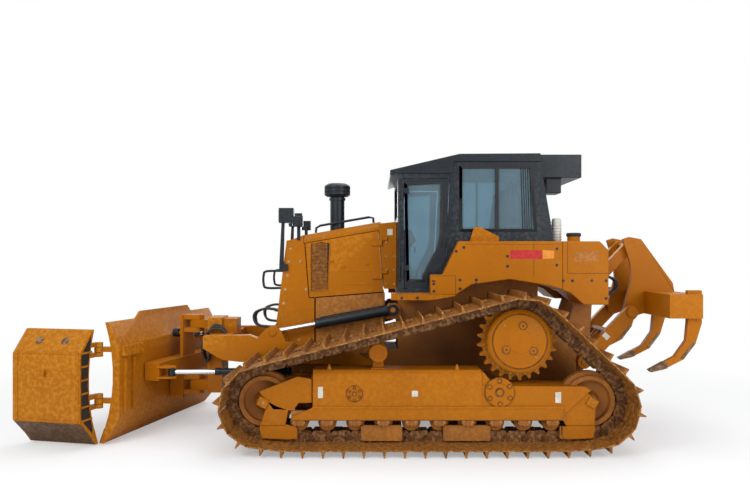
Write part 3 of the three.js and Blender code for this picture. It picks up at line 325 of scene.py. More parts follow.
class Shape:
    """Closed solids in workshop millimetres, gathered into the mesh of one piece."""

    def __init__(self):
        self.points, self.faces = [], []

    def add(self, points, faces):
        first = len(self.points)
        self.points += [Vector(p) for p in points]
        self.faces += [[first + i for i in face] for face in faces]
        return self

    def prism(self, outline, low, high, seen="side"):
        """A flat outline with thickness: side [x, z] across y, plan [x, y] up z, front [y, z] along x."""
        order = {"side": lambda p, q, t: (p, t, q), "plan": lambda p, q, t: (p, q, t),
                 "front": lambda p, q, t: (t, p, q)}[seen]
        count = len(outline)
        points = [order(p, q, t) for t in (low, high) for p, q in outline]
        walls = [[i, (i + 1) % count, count + (i + 1) % count, count + i] for i in range(count)]
        return self.add(points, walls + [list(range(count)), list(range(count, 2 * count))])

    def block(self, x0, x1, y0, y1, z0, z1):
        return self.prism([(x0, z0), (x1, z0), (x1, z1), (x0, z1)], y0, y1)

    def lathe(self, profile, base, axis=(0, 1, 0), sides=48):
        """A turned solid: [radius, distance along the axis] from one pole to the other."""
        axis = Vector(axis).normalized()
        across = axis.orthogonal().normalized()
        third = axis.cross(across)
        points, faces, rows = [], [], []
        for radius, reach in profile:
            centre = Vector(base) + axis * reach
            if radius <= 0:
                rows.append([len(points)] * sides)
                points.append(centre)
                continue
            rows.append([len(points) + i for i in range(sides)])
            for i in range(sides):
                turn = 2 * math.pi * i / sides
                points.append(centre + (across * math.cos(turn) + third * math.sin(turn)) * radius)
        for lower, upper in zip(rows, rows[1:]):
            for i in range(sides):
                j = (i + 1) % sides
                corner = [lower[i], lower[j], upper[j], upper[i]]
                faces.append([c for k, c in enumerate(corner) if c not in corner[:k]])
        for row, radius in ((rows[0], profile[0][0]), (rows[-1], profile[-1][0])):
            if radius > 0:
                faces.append(list(row))
        return self.add(points, faces)

    def pin(self, start, end, radius, sides=32, edge=3):
        """A round bar between two places, its ends chamfered."""
        start, end = Vector(start), Vector(end)
        length = (end - start).length
        edge = min(edge, radius / 2, length / 3)
        return self.lathe([(0, 0), (radius - edge, 0), (radius, edge), (radius, length - edge),
                           (radius - edge, length), (0, length)], start, end - start, sides)

    def ring(self, base, axis, outer, inner, length, sides=48, edge=3):
        """A sleeve: an outer and an inner wall joined at both ends."""
        axis = Vector(axis).normalized()
        loop = [(inner, edge), (inner, length - edge), (inner + edge, length), (outer - edge, length),
                (outer, length - edge), (outer, edge), (outer - edge, 0), (inner + edge, 0), (inner, edge)]
        across = axis.orthogonal().normalized()
        third = axis.cross(across)
        points, faces = [], []
        count = len(loop) - 1
        for i in range(sides):
            turn = 2 * math.pi * i / sides
            spoke = across * math.cos(turn) + third * math.sin(turn)
            points += [Vector(base) + axis * reach + spoke * radius for radius, reach in loop[:-1]]
        for i in range(sides):
            j = (i + 1) % sides
            faces += [[i * count + k, i * count + (k + 1) % count, j * count + (k + 1) % count, j * count + k]
                      for k in range(count)]
        return self.add(points, faces)

    def tube(self, route, radius, sides=14, smooth=6):
        """A pipe or hose along a route; smooth is how many steps join two of its places."""
        places = [Vector(p) for p in route]
        if smooth > 1:
            fine = []
            for i in range(len(places) - 1):
                a, b = places[max(i - 1, 0)], places[i]
                c, d = places[i + 1], places[min(i + 2, len(places) - 1)]
                for k in range(smooth):
                    t = k / smooth
                    fine.append(0.5 * ((2 * b) + (c - a) * t + (2 * a - 5 * b + 4 * c - d) * t * t
                                       + (3 * b - a - 3 * c + d) * t ** 3))
            places = fine + [places[-1]]
        points, faces = [], []
        spoke = (places[1] - places[0]).orthogonal().normalized()
        for i, centre in enumerate(places):
            ahead = (places[min(i + 1, len(places) - 1)] - places[max(i - 1, 0)]).normalized()
            spoke = (spoke - ahead * spoke.dot(ahead)).normalized()
            third = ahead.cross(spoke)
            points += [centre + (spoke * math.cos(2 * math.pi * k / sides)
                                 + third * math.sin(2 * math.pi * k / sides)) * radius for k in range(sides)]
        for i in range(len(places) - 1):
            faces += [[i * sides + k, i * sides + (k + 1) % sides, (i + 1) * sides + (k + 1) % sides,
                       (i + 1) * sides + k] for k in range(sides)]
        faces += [list(range(sides)), list(range((len(places) - 1) * sides, len(places) * sides))]
        return self.add(points, faces)

    def mesh(self, name, turn=None):
        data = bpy.data.meshes.new(name)
        if turn is not None:
            self.points = [turn @ p for p in self.points]
        data.from_pydata([at(*p) for p in self.points], [], self.faces)
        work = bmesh.new()
        work.from_mesh(data)
        bmesh.ops.remove_doubles(work, verts=work.verts, dist=1e-5)
        bmesh.ops.recalc_face_normals(work, faces=work.faces)
        work.to_mesh(data)
        work.free()
        return data

    def build(self, name, finish, body, slot, bevel=3.0, stands_for=(), turn=None, segments=2, angle=32):
        """The finished piece, riding on its body."""
        data = self.mesh(name, turn)
        data.materials.append(finish)
        piece = bpy.data.objects.new(name, data)
        scene.collection.objects.link(piece)
        smooth_edges(piece, bevel, segments, angle)
        return settle(piece, body, stands_for)


def smooth_edges(piece, bevel, segments=2, angle=32):
    """Rounds a piece's sharp edges by so many millimetres and shades the rest smoothly."""
    piece.data.polygons.foreach_set("use_smooth", [True] * len(piece.data.polygons))
    if bevel:
        rounding = piece.modifiers.new("rounding", "BEVEL")
        rounding.width = bevel / 1000
        rounding.segments = segments
        rounding.limit_method = "ANGLE"
        rounding.angle_limit = math.radians(angle)
        rounding.harden_normals = True
        rounding.use_clamp_overlap = True
    else:
        piece.data.set_sharp_from_angle(angle=math.radians(angle))


def settle(piece, body, stands_for=()):
    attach(piece, body)
    if stands_for:
        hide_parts(*stands_for)
    return piece


def recipe(name, sockets):
    """An empty geometry tree with named inputs: (tree, its nodes, its links, in, out)."""
    tree = bpy.data.node_groups.new(name, "GeometryNodeTree")
    tree.interface.new_socket("Geometry", in_out="INPUT", socket_type="NodeSocketGeometry")
    for label, kind, value in sockets:
        socket = tree.interface.new_socket(label, in_out="INPUT", socket_type=f"NodeSocket{kind}")
        if value is not None:
            socket.default_value = value
    tree.interface.new_socket("Geometry", in_out="OUTPUT", socket_type="NodeSocketGeometry")
    return tree, tree.nodes, tree.links, tree.nodes.new("NodeGroupInput"), tree.nodes.new("NodeGroupOutput")


def evaluated(piece):
    """A new mesh of a piece as its modifiers leave it."""
    return bpy.data.meshes.new_from_object(piece.evaluated_get(bpy.context.evaluated_depsgraph_get()))


def grown(carrier, tree, **values):
    """Runs a geometry tree on a carrier and keeps only the plain mesh that it makes."""
    modifier = carrier.modifiers.new("grown", "NODES")
    modifier.node_group = tree
    for item in tree.interface.items_tree:
        if item.in_out == "INPUT" and item.name in values:
            modifier[item.identifier] = values[item.name]
    carrier.update_tag()
    made = evaluated(carrier)
    carrier.modifiers.remove(modifier)
    carrier.data = made
    return carrier


def carrier(name, places, **attributes):
    """Loose points that a geometry tree puts copies on, with a number or a direction for each."""
    data = bpy.data.meshes.new(name)
    data.from_pydata([tuple(p) for p in places], [], [])
    for key, numbers in attributes.items():
        flat = isinstance(numbers[0], (int, float))
        layer = data.attributes.new(key, "FLOAT" if flat else "FLOAT_VECTOR", "POINT")
        if flat:
            layer.data.foreach_set("value", numbers)
        else:
            layer.data.foreach_set("vector", [c for n in numbers for c in n])
    piece = bpy.data.objects.new(name, data)
    scene.collection.objects.link(piece)
    return piece


track_steel = surface("track_steel", (0.25, 0.085, 0.008), (0.13, 0.040, 0.005), 0.55, metallic=0.15,
                      mottling=5.0, dusting=0.5, dust=(0.22, 0.084, 0.014), bare=(0.50, 0.24, 0.05),
                      wear=0.85, grain=70, pits=0.7, relief=0.25)

link_steel = surface("link_steel", (0.115, 0.038, 0.007), (0.055, 0.019, 0.005), 0.5, metallic=0.3,
                     mottling=4.0, dusting=0.35, dust=(0.15, 0.055, 0.012), bare=(0.34, 0.17, 0.06),
                     wear=0.8, grain=70, pits=0.6, relief=0.2)

both_sides = (("left", 1), ("right", -1))
track_middle = 1143
shoe_pitch, shoe_half = 203, 457.5
sprocket_x, sprocket_z = -954, 1135
idler_x, idler_z = 1700, 505
roller_z = 294
sprocket_wrap, idler_wrap, roller_wrap = 408.14, 354.82, 169


def pin_places():
    """The pins of a track, in order, seen from the left: it wraps the rollers, idlers and sprocket."""
    wrapped = [(1410, roller_z, roller_wrap), (idler_x, idler_z, idler_wrap),
               (sprocket_x, sprocket_z, sprocket_wrap), (-idler_x, idler_z, idler_wrap),
               (-1370, roller_z, roller_wrap)]
    runs, angles = [], []
    for i, (x, z, r) in enumerate(wrapped):
        nx, nz, nr = wrapped[(i + 1) % len(wrapped)]
        dx, dz = nx - x, nz - z
        span = math.hypot(dx, dz)
        lean = (r - nr) / span
        side = math.sqrt(1 - lean * lean)
        dx, dz = dx / span, dz / span
        angles.append(math.atan2(-dx * side + dz * lean, dz * side + dx * lean))
        runs.append(span * side)
    parts = []
    for i, (x, z, r) in enumerate(wrapped):
        start, end = angles[i - 1] % (2 * math.pi), angles[i] % (2 * math.pi)
        if end < start:
            end += 2 * math.pi
        parts.append(((end - start) * r, lambda s, x=x, z=z, r=r, a=start: (
            x + r * math.cos(a + s / r), z + r * math.sin(a + s / r))))
        foot = (x + r * math.cos(angles[i]), z + r * math.sin(angles[i]))
        way = (-math.sin(angles[i]), math.cos(angles[i]))
        parts.append((runs[i], lambda s, f=foot, w=way: (f[0] + w[0] * s, f[1] + w[1] * s)))
    total = sum(length for length, _ in parts)
    count = round(total / shoe_pitch)
    places = []
    for i in range(count):
        s = total * i / count
        for length, where in parts:
            if s <= length:
                places.append(where(s))
                break
            s -= length
    return places


# One shoe with its four bolts, and one pair of links with its pin. Their x runs along the chain and
# their z inwards. Each shoe has a thin lip under the one before it, which closes the bends.
shoe_unit, link_unit = Shape(), Shape()
shoe_unit.prism([(-31, -46), (-31, -54), (6, -54), (6, -46)], -shoe_half + 2, shoe_half - 2)
shoe_unit.prism([(2, -44), (2, -57), (40, -60), (54, -124), (66, -124), (78, -60), (192, -59), (203, -50),
                 (202, -45), (190, -44)], -shoe_half, shoe_half)
for s in (1, -1):
    link_unit.prism([(-30, -44), (-37, -8), (-30, 22), (-6, 36), (14, 66), (20, 70), (112, 70), (112, -44)],
                    s * 60, s * 82)
    link_unit.prism([(92, -44), (92, 70), (180, 70), (192, 58), (212, 34), (236, 22), (242, -8), (232, -44)],
                    s * 84, s * 105)
    link_unit.prism([(60, -44), (60, 62), (150, 62), (150, -44)], s * 66, s * 99)
    link_unit.pin((shoe_pitch, s * 105, 0), (shoe_pitch, s * 114, 0), 30, 16)
    for t in (120, 165):
        shoe_unit.lathe([(0, -60), (24, -60), (24, -72), (20, -78), (0, -78)], (t, s * 83, 0), (0, 0, 1), 6)
link_unit.pin((0, -60, 0), (0, 60, 0), 30, 14)


def copies_laid(nodes, links, source, sink, unit, rotation):
    """Ends a tree that puts a turned copy of a unit on each point, all in the one material."""
    laid = nodes.new("GeometryNodeInstanceOnPoints")
    links.new(source.outputs["Geometry"], laid.inputs["Points"])
    links.new(unit, laid.inputs["Instance"])
    links.new(rotation, laid.inputs["Rotation"])
    real = nodes.new("GeometryNodeRealizeInstances")
    links.new(laid.outputs[0], real.inputs[0])
    coated = nodes.new("GeometryNodeSetMaterial")
    links.new(real.outputs[0], coated.inputs[0])
    links.new(source.outputs["Material"], coated.inputs["Material"])
    links.new(coated.outputs[0], sink.inputs[0])


chain, nodes, links, source, sink = recipe("chain", [("Unit", "Object", None),
                                                     ("Material", "Material", None)])
copied = nodes.new("GeometryNodeObjectInfo")
links.new(source.outputs["Unit"], copied.inputs["Object"])
turn = nodes.new("GeometryNodeInputNamedAttribute")
turn.data_type = "FLOAT"
turn.inputs["Name"].default_value = "turn"
angles = nodes.new("ShaderNodeCombineXYZ")
links.new(turn.outputs["Attribute"], angles.inputs["Y"])
copies_laid(nodes, links, source, sink, copied.outputs["Geometry"], angles.outputs[0])

pins = pin_places()
turns = []
for i, (x, z) in enumerate(pins):
    nx, nz = pins[(i + 1) % len(pins)]
    turns.append(math.atan2(-(nz - z), nx - x))
for part, unit, finish in (("shoes", shoe_unit, track_steel), ("links", link_unit, link_steel)):
    unit_mesh = unit.mesh(f"track_{part}_unit")
    unit_mesh.transform(Matrix.Translation(-at(0, 0, 0)))
    unit_piece = bpy.data.objects.new(f"track_{part}_unit", unit_mesh)
    scene.collection.objects.link(unit_piece)
    for side, s in both_sides:
        track = carrier(f"track_{part}_{side}", [at(x, s * track_middle, z) for x, z in pins], turn=turns)
        grown(track, chain, Unit=unit_piece, Material=finish)
        smooth_edges(track, 2.5, 1, 40)
        settle(track, "chassis", [f"track_{side}"] if part == "shoes" else ())
    bpy.data.objects.remove(unit_piece)


# ---------------------------------------------------------------------------
# Drive sprockets. High at the back of each track, a toothed rim of bolted segments stands round
# the cover of the final drive. The cover is a turned casting with three small bosses.
# ---------------------------------------------------------------------------

amber = surface("amber_paint", (0.415, 0.132, 0.002), (0.370, 0.111, 0.002), 0.40, mottling=1.3, dusting=0.3,
                dust=(0.26, 0.115, 0.03), bare=(0.62, 0.27, 0.03), wear=0.45, grain=160, pits=0.15,
                relief=0.05, coat=0.03, specular=0.09)
dusty_amber = surface("dusty_amber_paint", (0.36, 0.115, 0.006), (0.25, 0.077, 0.005), 0.55, mottling=3.2,
                      dusting=0.8, dust=(0.23, 0.105, 0.03), bare=(0.55, 0.25, 0.04), wear=0.6, grain=110,
                      pits=0.4, relief=0.14)
bare_steel = surface("bolt_steel", (0.36, 0.17, 0.035), (0.22, 0.10, 0.025), 0.5, metallic=0.45, mottling=30,
                     dusting=0.6, bare=(0.55, 0.42, 0.28), wear=0.7, grain=200, pits=0.4, relief=0.1)

# A bolt's washer and head, as shares of its size and height; half of each depth is below the face.
washer_width, washer_depth, head_depth = 1.42, 0.7, 2.0
bolt, nodes, links, source, sink = recipe("bolt", [("Size", "Float", 0.012), ("Height", "Float", 0.01),
                                                   ("Material", "Material", None)])
washer = nodes.new("GeometryNodeMeshCylinder")
washer.inputs["Vertices"].default_value = 14
head = nodes.new("GeometryNodeMeshCylinder")
head.inputs["Vertices"].default_value = 6
size, height = source.outputs["Size"], source.outputs["Height"]
links.new(reckoned(nodes, links, size, washer_width, clamp=False), washer.inputs["Radius"])
links.new(reckoned(nodes, links, height, washer_depth, clamp=False), washer.inputs["Depth"])
links.new(size, head.inputs["Radius"])
links.new(reckoned(nodes, links, height, head_depth, clamp=False), head.inputs["Depth"])
together = nodes.new("GeometryNodeJoinGeometry")
links.new(washer.outputs["Mesh"], together.inputs[0])
links.new(head.outputs["Mesh"], together.inputs[0])
outward = nodes.new("GeometryNodeInputNamedAttribute")
outward.data_type = "FLOAT_VECTOR"
outward.inputs["Name"].default_value = "out"
aimed = nodes.new("FunctionNodeAlignRotationToVector")
aimed.axis = "Z"
links.new(outward.outputs["Attribute"], aimed.inputs["Vector"])
copies_laid(nodes, links, source, sink, together.outputs[0], aimed.outputs[0])


def bolts(name, places, out, size, height, finish, body):
    """Hexagon heads on washers at workshop places; out is one direction or one for each."""
    outs = out if isinstance(out, list) else [out] * len(places)
    piece = carrier(name, [at(*p) for p in places], out=[tuple(o) for o in outs])
    grown(piece, bolt, Size=size / 1000, Height=height / 1000, Material=finish)
    piece.data.set_sharp_from_angle(angle=math.radians(30))
    return settle(piece, body)


def circle(x, z, radius, count, y, start=0.0):
    """Places round a circle on a face that looks sideways."""
    return [(x + radius * math.cos(start + 2 * math.pi * i / count), y,
             z + radius * math.sin(start + 2 * math.pi * i / count)) for i in range(count)]


tooth_count = 25
for side, s in both_sides:
    x, z, base = sprocket_x, sprocket_z, s * track_middle
    rim = []
    for i in range(tooth_count):
        for share, r in ((0.02, 372), (0.13, 374), (0.24, 384), (0.34, 408), (0.40, 421), (0.47, 424),
                         (0.53, 424), (0.60, 421), (0.66, 408), (0.76, 384), (0.87, 374), (0.98, 372)):
            turn = 2 * math.pi * (i + share) / tooth_count
            rim.append((x + r * math.cos(turn), z + r * math.sin(turn)))
    wheel = Shape().prism(rim, base - 40, base + 40)
    wheel.lathe([(0, -40 * s), (250, -40 * s), (300, 0), (300, 112 * s), (322, 114 * s), (334, 122 * s),
                 (335, 148 * s), (326, 160 * s), (300, 176 * s), (290, 180 * s), (285, 176 * s),
                 (279, 176 * s), (275, 183 * s), (165, 190 * s), (150, 198 * s), (126, 199 * s),
                 (120, 204.5 * s), (24, 204.5 * s), (20, 200 * s), (0, 200 * s)], (x, base, z), sides=96)
    rests = Shape()
    for turn in (100, 215, 330):
        lug = (x + 165 * math.cos(math.radians(turn)), z + 165 * math.sin(math.radians(turn)))
        wheel.pin((lug[0], base + 180 * s, lug[1]), (lug[0], base + 203 * s, lug[1]), 36, 32, 5)
        rests.ring((lug[0], base + 191 * s, lug[1]), (0, s, 0), 45, 34, 9, 32, 2)
        rests.pin((lug[0], base + 202 * s, lug[1]), (lug[0], base + 204.3 * s, lug[1]), 13, 20, 1)
    rests.ring((x, base + 180 * s, z), (0, s, 0), 288, 281, 6, 64, 1)
    rests.build(f"final_drive_seats_{side}", link_steel, f"sprocket_{side}", "frame_paint", 0)
    wheel.build(f"drive_sprocket_{side}", amber, f"sprocket_{side}", "frame_paint", 3,
                [f"sprocket_{side}"], angle=40)
    bolts(f"sprocket_bolts_{side}", circle(x, z, 354, 30, base + 40 * s, 0.1), (0, s, 0), 10, 9,
          bare_steel, f"sprocket_{side}")
    bolts(f"final_drive_bolts_{side}", circle(x, z, 232, 4, base + 186 * s, 0.8), (0, s, 0), 7, 5,
          bare_steel, f"sprocket_{side}")


# ---------------------------------------------------------------------------
# Idlers. Cast wheels at both ends of each track, with a raised middle flange between the rows of
# links. Their axles end in small square blocks held between the frame's forks.
# ---------------------------------------------------------------------------

for place, x in (("front", idler_x), ("rear", -idler_x)):
    for side, s in both_sides:
        base = s * track_middle
        idler = Shape().lathe(
            [(0, -129), (66, -129), (72, -122), (108, -34), (120, -28), (196, -28), (210, -34), (214, -98),
             (221, -105), (258, -105), (264, -99), (264, -54), (300, -46), (306, -40), (306, 40), (300, 46),
             (264, 54), (264, 99), (258, 105), (221, 105), (214, 98), (210, 34), (196, 28), (120, 28),
             (108, 34), (72, 122), (66, 129), (0, 129)], (x, base, idler_z), sides=96)
        idler.build(f"idler_{place}_{side}", dusty_amber, f"{place}_idler_{side}", "frame_paint", 0,
                    [f"{place}_idler_{side}"], angle=28)


# ---------------------------------------------------------------------------
# Roller frames. Each is a welded box beam with sloping shoulders and a skirt along its foot, open
# forks at both ends for the idlers, and a spring tube that pushes the front fork forward.
# ---------------------------------------------------------------------------

chrome = surface("polished_rod", (0.72, 0.74, 0.76), (0.60, 0.62, 0.65), 0.13, metallic=1.0, mottling=8,
                 dusting=0.12, bare=(0.8, 0.8, 0.8), wear=0.1, grain=300, pits=0.1, relief=0.02)
label = surface("blank_label", (0.72, 0.70, 0.62), (0.55, 0.53, 0.45), 0.6, mottling=40, dusting=0.5,
                bare=(0.7, 0.68, 0.6), wear=0.0, grain=200, pits=0.1, relief=0.03)

axle_lean, carrier_radius = 0.5, 96.5
for side, s in both_sides:
    base = s * track_middle
    face = base + s * 194

    def across(*reach):
        """Distances out from the track's middle line as positions across the machine."""
        return [base + s * r for r in reach]

    beam = Shape()
    beam.prism([(y, z) for y, z in zip(across(-150, -190, -194, -194, 194, 194, 190, 150),
                                       (840, 800, 786, 452, 452, 786, 800, 840))], -560, 1185, "front")
    beam.prism([(1190, 440), (1190, 470), (-1380, 470), (-1380, 440)], *across(-192, 192))
    beam.prism([(-540, 455), (-540, 690), (-620, 678), (-1620, 672), (-1688, 634), (-1400, 372), (-1360, 372),
                (-1340, 455)], *across(-188, 188))
    beam.prism([(-560, 826), (-560, 670), (-640, 676), (-700, 690), (-640, 742), (-596, 800)],
               *across(-176, 176))
    for skirt in ((182, 206), (-206, -182)):
        beam.prism([(1180, 458), (1395, 362), (1400, 330), (1388, 330), (-1388, 330), (-1390, 362),
                    (-1400, 458)], *across(*skirt))
    for ledge in ((188, 211.5), (-211.5, -188)):
        beam.prism([(1180, 470), (1180, 444), (-1400, 444), (-1400, 470)], *across(*ledge))
    for s2 in (1, -1):
        inner, outer = across(s2 * 131, s2 * 171)
        beam.prism([(1196, 745), (1345, 770), (1742, 618), (1700, 560), (1650, 505), (1600, 430), (1390, 420),
                    (1330, 500), (1196, 500)], inner, outer)
        beam.prism([(1648, 520), (1728, 268), (1470, 268), (1440, 430), (1560, 470)], inner, outer)
        beam.prism([(1740, 236), (1716, 130), (1640, 126), (1430, 118), (1350, 128), (1350, 238), (1470, 275),
                    (1728, 275)], inner, base + s * s2 * 158)
        beam.prism([(-1330, 660), (-1600, 655), (-1700, 560), (-1740, 470), (-1728, 268), (-1430, 268),
                    (-1330, 440)], inner, outer)
        beam.prism([(-1740, 236), (-1716, 130), (-1640, 126), (-1430, 118), (-1405, 128), (-1400, 238),
                    (-1470, 275), (-1728, 275)], inner, base + s * s2 * 158)
    beam.lathe([(0, 0), (150, 0), (158, 8), (158, 26), (150, 34), (122, 34), (122, 104), (0, 104)],
               (1180, base, 620), (1, 0, 0), 48)
    beam.block(1196, 1206, *across(-168, 168), 500, 742)
    beam.build(f"roller_frame_{side}", amber, "chassis", "yellow_paint", 7, [f"track_frame_{side}"],
               segments=3)
    Shape().lathe([(0, 0), (92, 0), (92, 80), (0, 80)], (1262, base, 620), (1, 0, 0), 40).build(
        f"spring_rod_{side}", chrome, "chassis", "yellow_paint", 0)

    caps, studs = Shape(), Shape()
    for (x, z, r, n, hole) in ((-741, 615, 150, 6, 19), (754, 600, 80, 6, 9)):
        caps.lathe([(0, -4 * s), (r, -4 * s), (r, 12 * s), (r - 7, 18 * s), (r * 0.62, 18 * s),
                    (r * 0.58, 13 * s), (r * 0.3, 13 * s), (r * 0.28, 19 * s), (0, 19 * s)],
                   (x, face, z), sides=56)
        for px, py, pz in circle(x, z, r * 0.79, n, face, 0.5):
            caps.pin((px, face + 14 * s, pz), (px, face + 21.5 * s, pz), hole, 20, 3)
            studs.ring((px, face + 15 * s, pz), (0, s, 0), hole + 7, hole + 1, 8, 24, 1)
        studs.ring((x, face + 2.5 * s, z), (0, s, 0), r + 5, r + 0.5, 5, 56, 1)
        studs.ring((x, face + 14 * s, z), (0, s, 0), r * 0.32, r * 0.2, 6, 32, 1)
    ends, outs = [], []
    for x in (idler_x, -idler_x):
        block = [(x + a * math.cos(axle_lean) - b * math.sin(axle_lean),
                  idler_z + a * math.sin(axle_lean) + b * math.cos(axle_lean))
                 for a, b in ((-52, -44), (52, -44), (52, 44), (-52, 44))]
        for s2 in (1, -1):
            caps.prism(block, *across(s2 * 160, s2 * 194))
            ends.append((x, base + s * s2 * 194, idler_z))
            outs.append((0, s * s2, 0))
    caps.prism([(450, 838), (570, 838), (556, 985), (464, 985)], *across(-40, 40))
    caps.block(436, 584, *across(-120, 120), 836, 852)
    caps.lathe([(0, -112), (90, -112), (96, -106), (96, -56), (90, -52), (46, -52), (46, 52), (90, 52),
                (96, 56), (96, 106), (90, 112), (60, 112), (56, 108), (0, 108)],
               (510, base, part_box(f"track_frame_{side}")[1][2] * 1000 - carrier_radius), sides=48)
    for x in (1020, -310):
        caps.lathe([(0, 0), (26, 0), (26, 8), (14, 34), (10, 52), (0, 56)], (x, *across(120), 838),
                   (0, 0, 1), 20)
    caps.build(f"frame_caps_{side}", amber, "chassis", "yellow_paint", 2.5)
    studs.build(f"frame_studs_{side}", link_steel, "chassis", "yellow_paint", 0)
    bolts(f"frame_bolts_{side}", ends, outs, 11, 9, bare_steel, "chassis")
    tags = Shape()
    for x, z, w, h in ((1105, 612, 26, 58), (132, 600, 32, 30), (-1345, 560, 30, 56)):
        tags.block(x - w, x + w, face - 2 * s, face + 1.6 * s, z - h, z + h)
    tags.build(f"frame_labels_{side}", label, "chassis", "yellow_paint", 0.5)


# ---------------------------------------------------------------------------
# Track rollers. Ten under each frame, each a double-flanged cast roller whose shaft ends sit in
# forked brackets; two long guide plates and one at each end keep the chain in line.
# ---------------------------------------------------------------------------

roller_count, first_roller, roller_row = 10, -1290, 2620
for side, s in both_sides:
    base = s * track_middle
    body = Shape()
    bolt_places, bolt_outs = [], []
    for i in range(roller_count):
        x = first_roller + i * roller_row / (roller_count - 1)
        body.lathe([(0, -150), (30, -150), (34, -118), (90, -112), (97, -106), (97, -56), (86, -50),
                    (72, -44), (72, 44), (86, 50), (97, 56), (97, 106), (90, 112), (34, 118), (30, 150),
                    (0, 150)], (x, base, roller_z), sides=40)
        for s2 in (1, -1):
            body.prism([(x - 62, 330), (x - 66, 292), (x - 40, 262), (x - 22, 270), (x, 256), (x + 22, 270),
                        (x + 40, 262), (x + 66, 292), (x + 62, 330)], base + s2 * 142, base + s2 * 186)
            body.pin((x, base + s2 * 184, 292), (x, base + s2 * 190, 292), 26, 20, 3)
            for k in (-1, 1):
                bolt_places.append((x + k * 46, base + s2 * 184, 306))
                bolt_outs.append((0, s2, 0))
    for s2 in (1, -1):
        for x0, x1, low in ((262, 689, 102), (-653, -164, 102), (1356, 1408, 132), (-1418, -1372, 122)):
            body.prism([(x0 + 14, low), (x0, low + 14), (x0, 250), (x0 + 26, 262), (x1 - 26, 262),
                        (x1, 250), (x1, low + 14), (x1 - 14, low)], base + s2 * 117, base + s2 * 151)
        body.prism([(1408, 318), (-1418, 318), (-1418, 419), (1408, 419)], base + s2 * 141, base + s2 * 180)
    body.build(f"roller_set_{side}", dusty_amber, "chassis", "frame_paint", 3, [f"track_rollers_{side}"])
    bolts(f"roller_bolts_{side}", bolt_places, bolt_outs, 8, 7, bare_steel, "chassis")


# ---------------------------------------------------------------------------
# Hull and engine. The main frame is one welded and cast box between the tracks, with the final
# drives, the pivot shaft and the ripper's bracket on it. The engine stands inside the bonnet.
# ---------------------------------------------------------------------------

# Pieces with edges shorter than their rounding, whose rounding is held back where it would overlap.
close_edged = {"blade_yoke", "c_frame", "cab_shell", "cab_door_left", "cab_door_right", "engine_door_left",
               "engine_door_right", "ripper_beam"}


def refined(node, finish, bevel=3.0, angle=32, segments=2):
    """The frame's own shape of a piece, its flat faces made whole and its sharp edges rounded."""
    source = frame["nodes"][node]
    data = source.data.copy()
    data.materials.clear()
    data.materials.append(finish)
    if "custom_normal" in data.attributes:
        data.attributes.remove(data.attributes["custom_normal"])
    work = bmesh.new()
    work.from_mesh(data)
    bmesh.ops.remove_doubles(work, verts=work.verts, dist=1e-5)
    bmesh.ops.dissolve_limit(work, angle_limit=math.radians(0.4), verts=work.verts, edges=work.edges)
    work.to_mesh(data)
    work.free()
    piece = bpy.data.objects.new(f"{node}_body", data)
    scene.collection.objects.link(piece)
    smooth_edges(piece, bevel, segments, angle)
    if bevel:
        piece.modifiers["rounding"].use_clamp_overlap = node in close_edged
    return settle(piece, source["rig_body"], [node])


black = surface("black_paint", (0.010, 0.015, 0.021), (0.006, 0.009, 0.014), 0.36, mottling=2.0,
                dusting=0.12, dust=(0.10, 0.075, 0.05), bare=(0.07, 0.075, 0.08), wear=0.4, grain=170,
                pits=0.1, relief=0.05, coat=0.04, specular=0.24)
refined("main_frame", dusty_amber, 5)
refined("engine_block", black, 8)
for side, s in both_sides:
    bolts(f"hull_bolts_{side}", [(x, s * 421, 700) for x in (1500, 1400, 1300, 1200, 1100, 1000)]
          + [(x, s * 421, 560) for x in (1500, 1300, 1100)], (0, s, 0), 13, 9, bare_steel, "chassis")


# ---------------------------------------------------------------------------
# Radiator guard. A thick steel surround that leans back, open at the front behind cross bars, and
# bolted down its sides to the hull. A dark core fills the space behind the bars.
# ---------------------------------------------------------------------------

bonnet_half = 470
refined("radiator_guard", amber, 6, segments=3)
core_lean = 0.1245 * 0.6
core = Shape()
for i in range(28):
    z = 1262 + i * 30
    back = (z - 1228) * core_lean
    core.block(1492 - back, 1506 - back, -396, 396, z, z + 11)
core.build("radiator_fins", black, "chassis", "black_paint", 1, segments=1)
for side, s in both_sides:
    edge_places = [(1622, 1180), (1612, 1330), (1592, 1480), (1573, 1640), (1552, 1800), (1532, 1960),
                   (1514, 2110), (1330, 1640), (1400, 1960), (1290, 1060), (1420, 1060), (1560, 1060)]
    bolts(f"guard_bolts_{side}", [(x, s * (bonnet_half + 0.5), z) for x, z in edge_places], (0, s, 0), 12, 8,
          bare_steel, "chassis")


# ---------------------------------------------------------------------------
# Bonnet. Folded sheet steel with chamfered shoulders, running back into a cowl ahead of the cab.
# Two long doors close its sides; each has a perforated screen over the fan's air outlet.
# ---------------------------------------------------------------------------

refined("hood", amber, 5, segments=3)
# Near-black finish: the real dark of seam lines on the fenders and tank, and painted shade behind the door
# screens and inside the wings' open ends.
seam_and_shade_dark = surface("seam_dark_and_painted_shade", (0.016, 0.012, 0.009), (0.008, 0.006, 0.005), 0.8, mottling=20,
                   dusting=0.5, dust=(0.10, 0.06, 0.03), bare=(0.02, 0.015, 0.01), wear=0.1, grain=120,
                   pits=0.3, relief=0.1)
hood_slope = 0.174

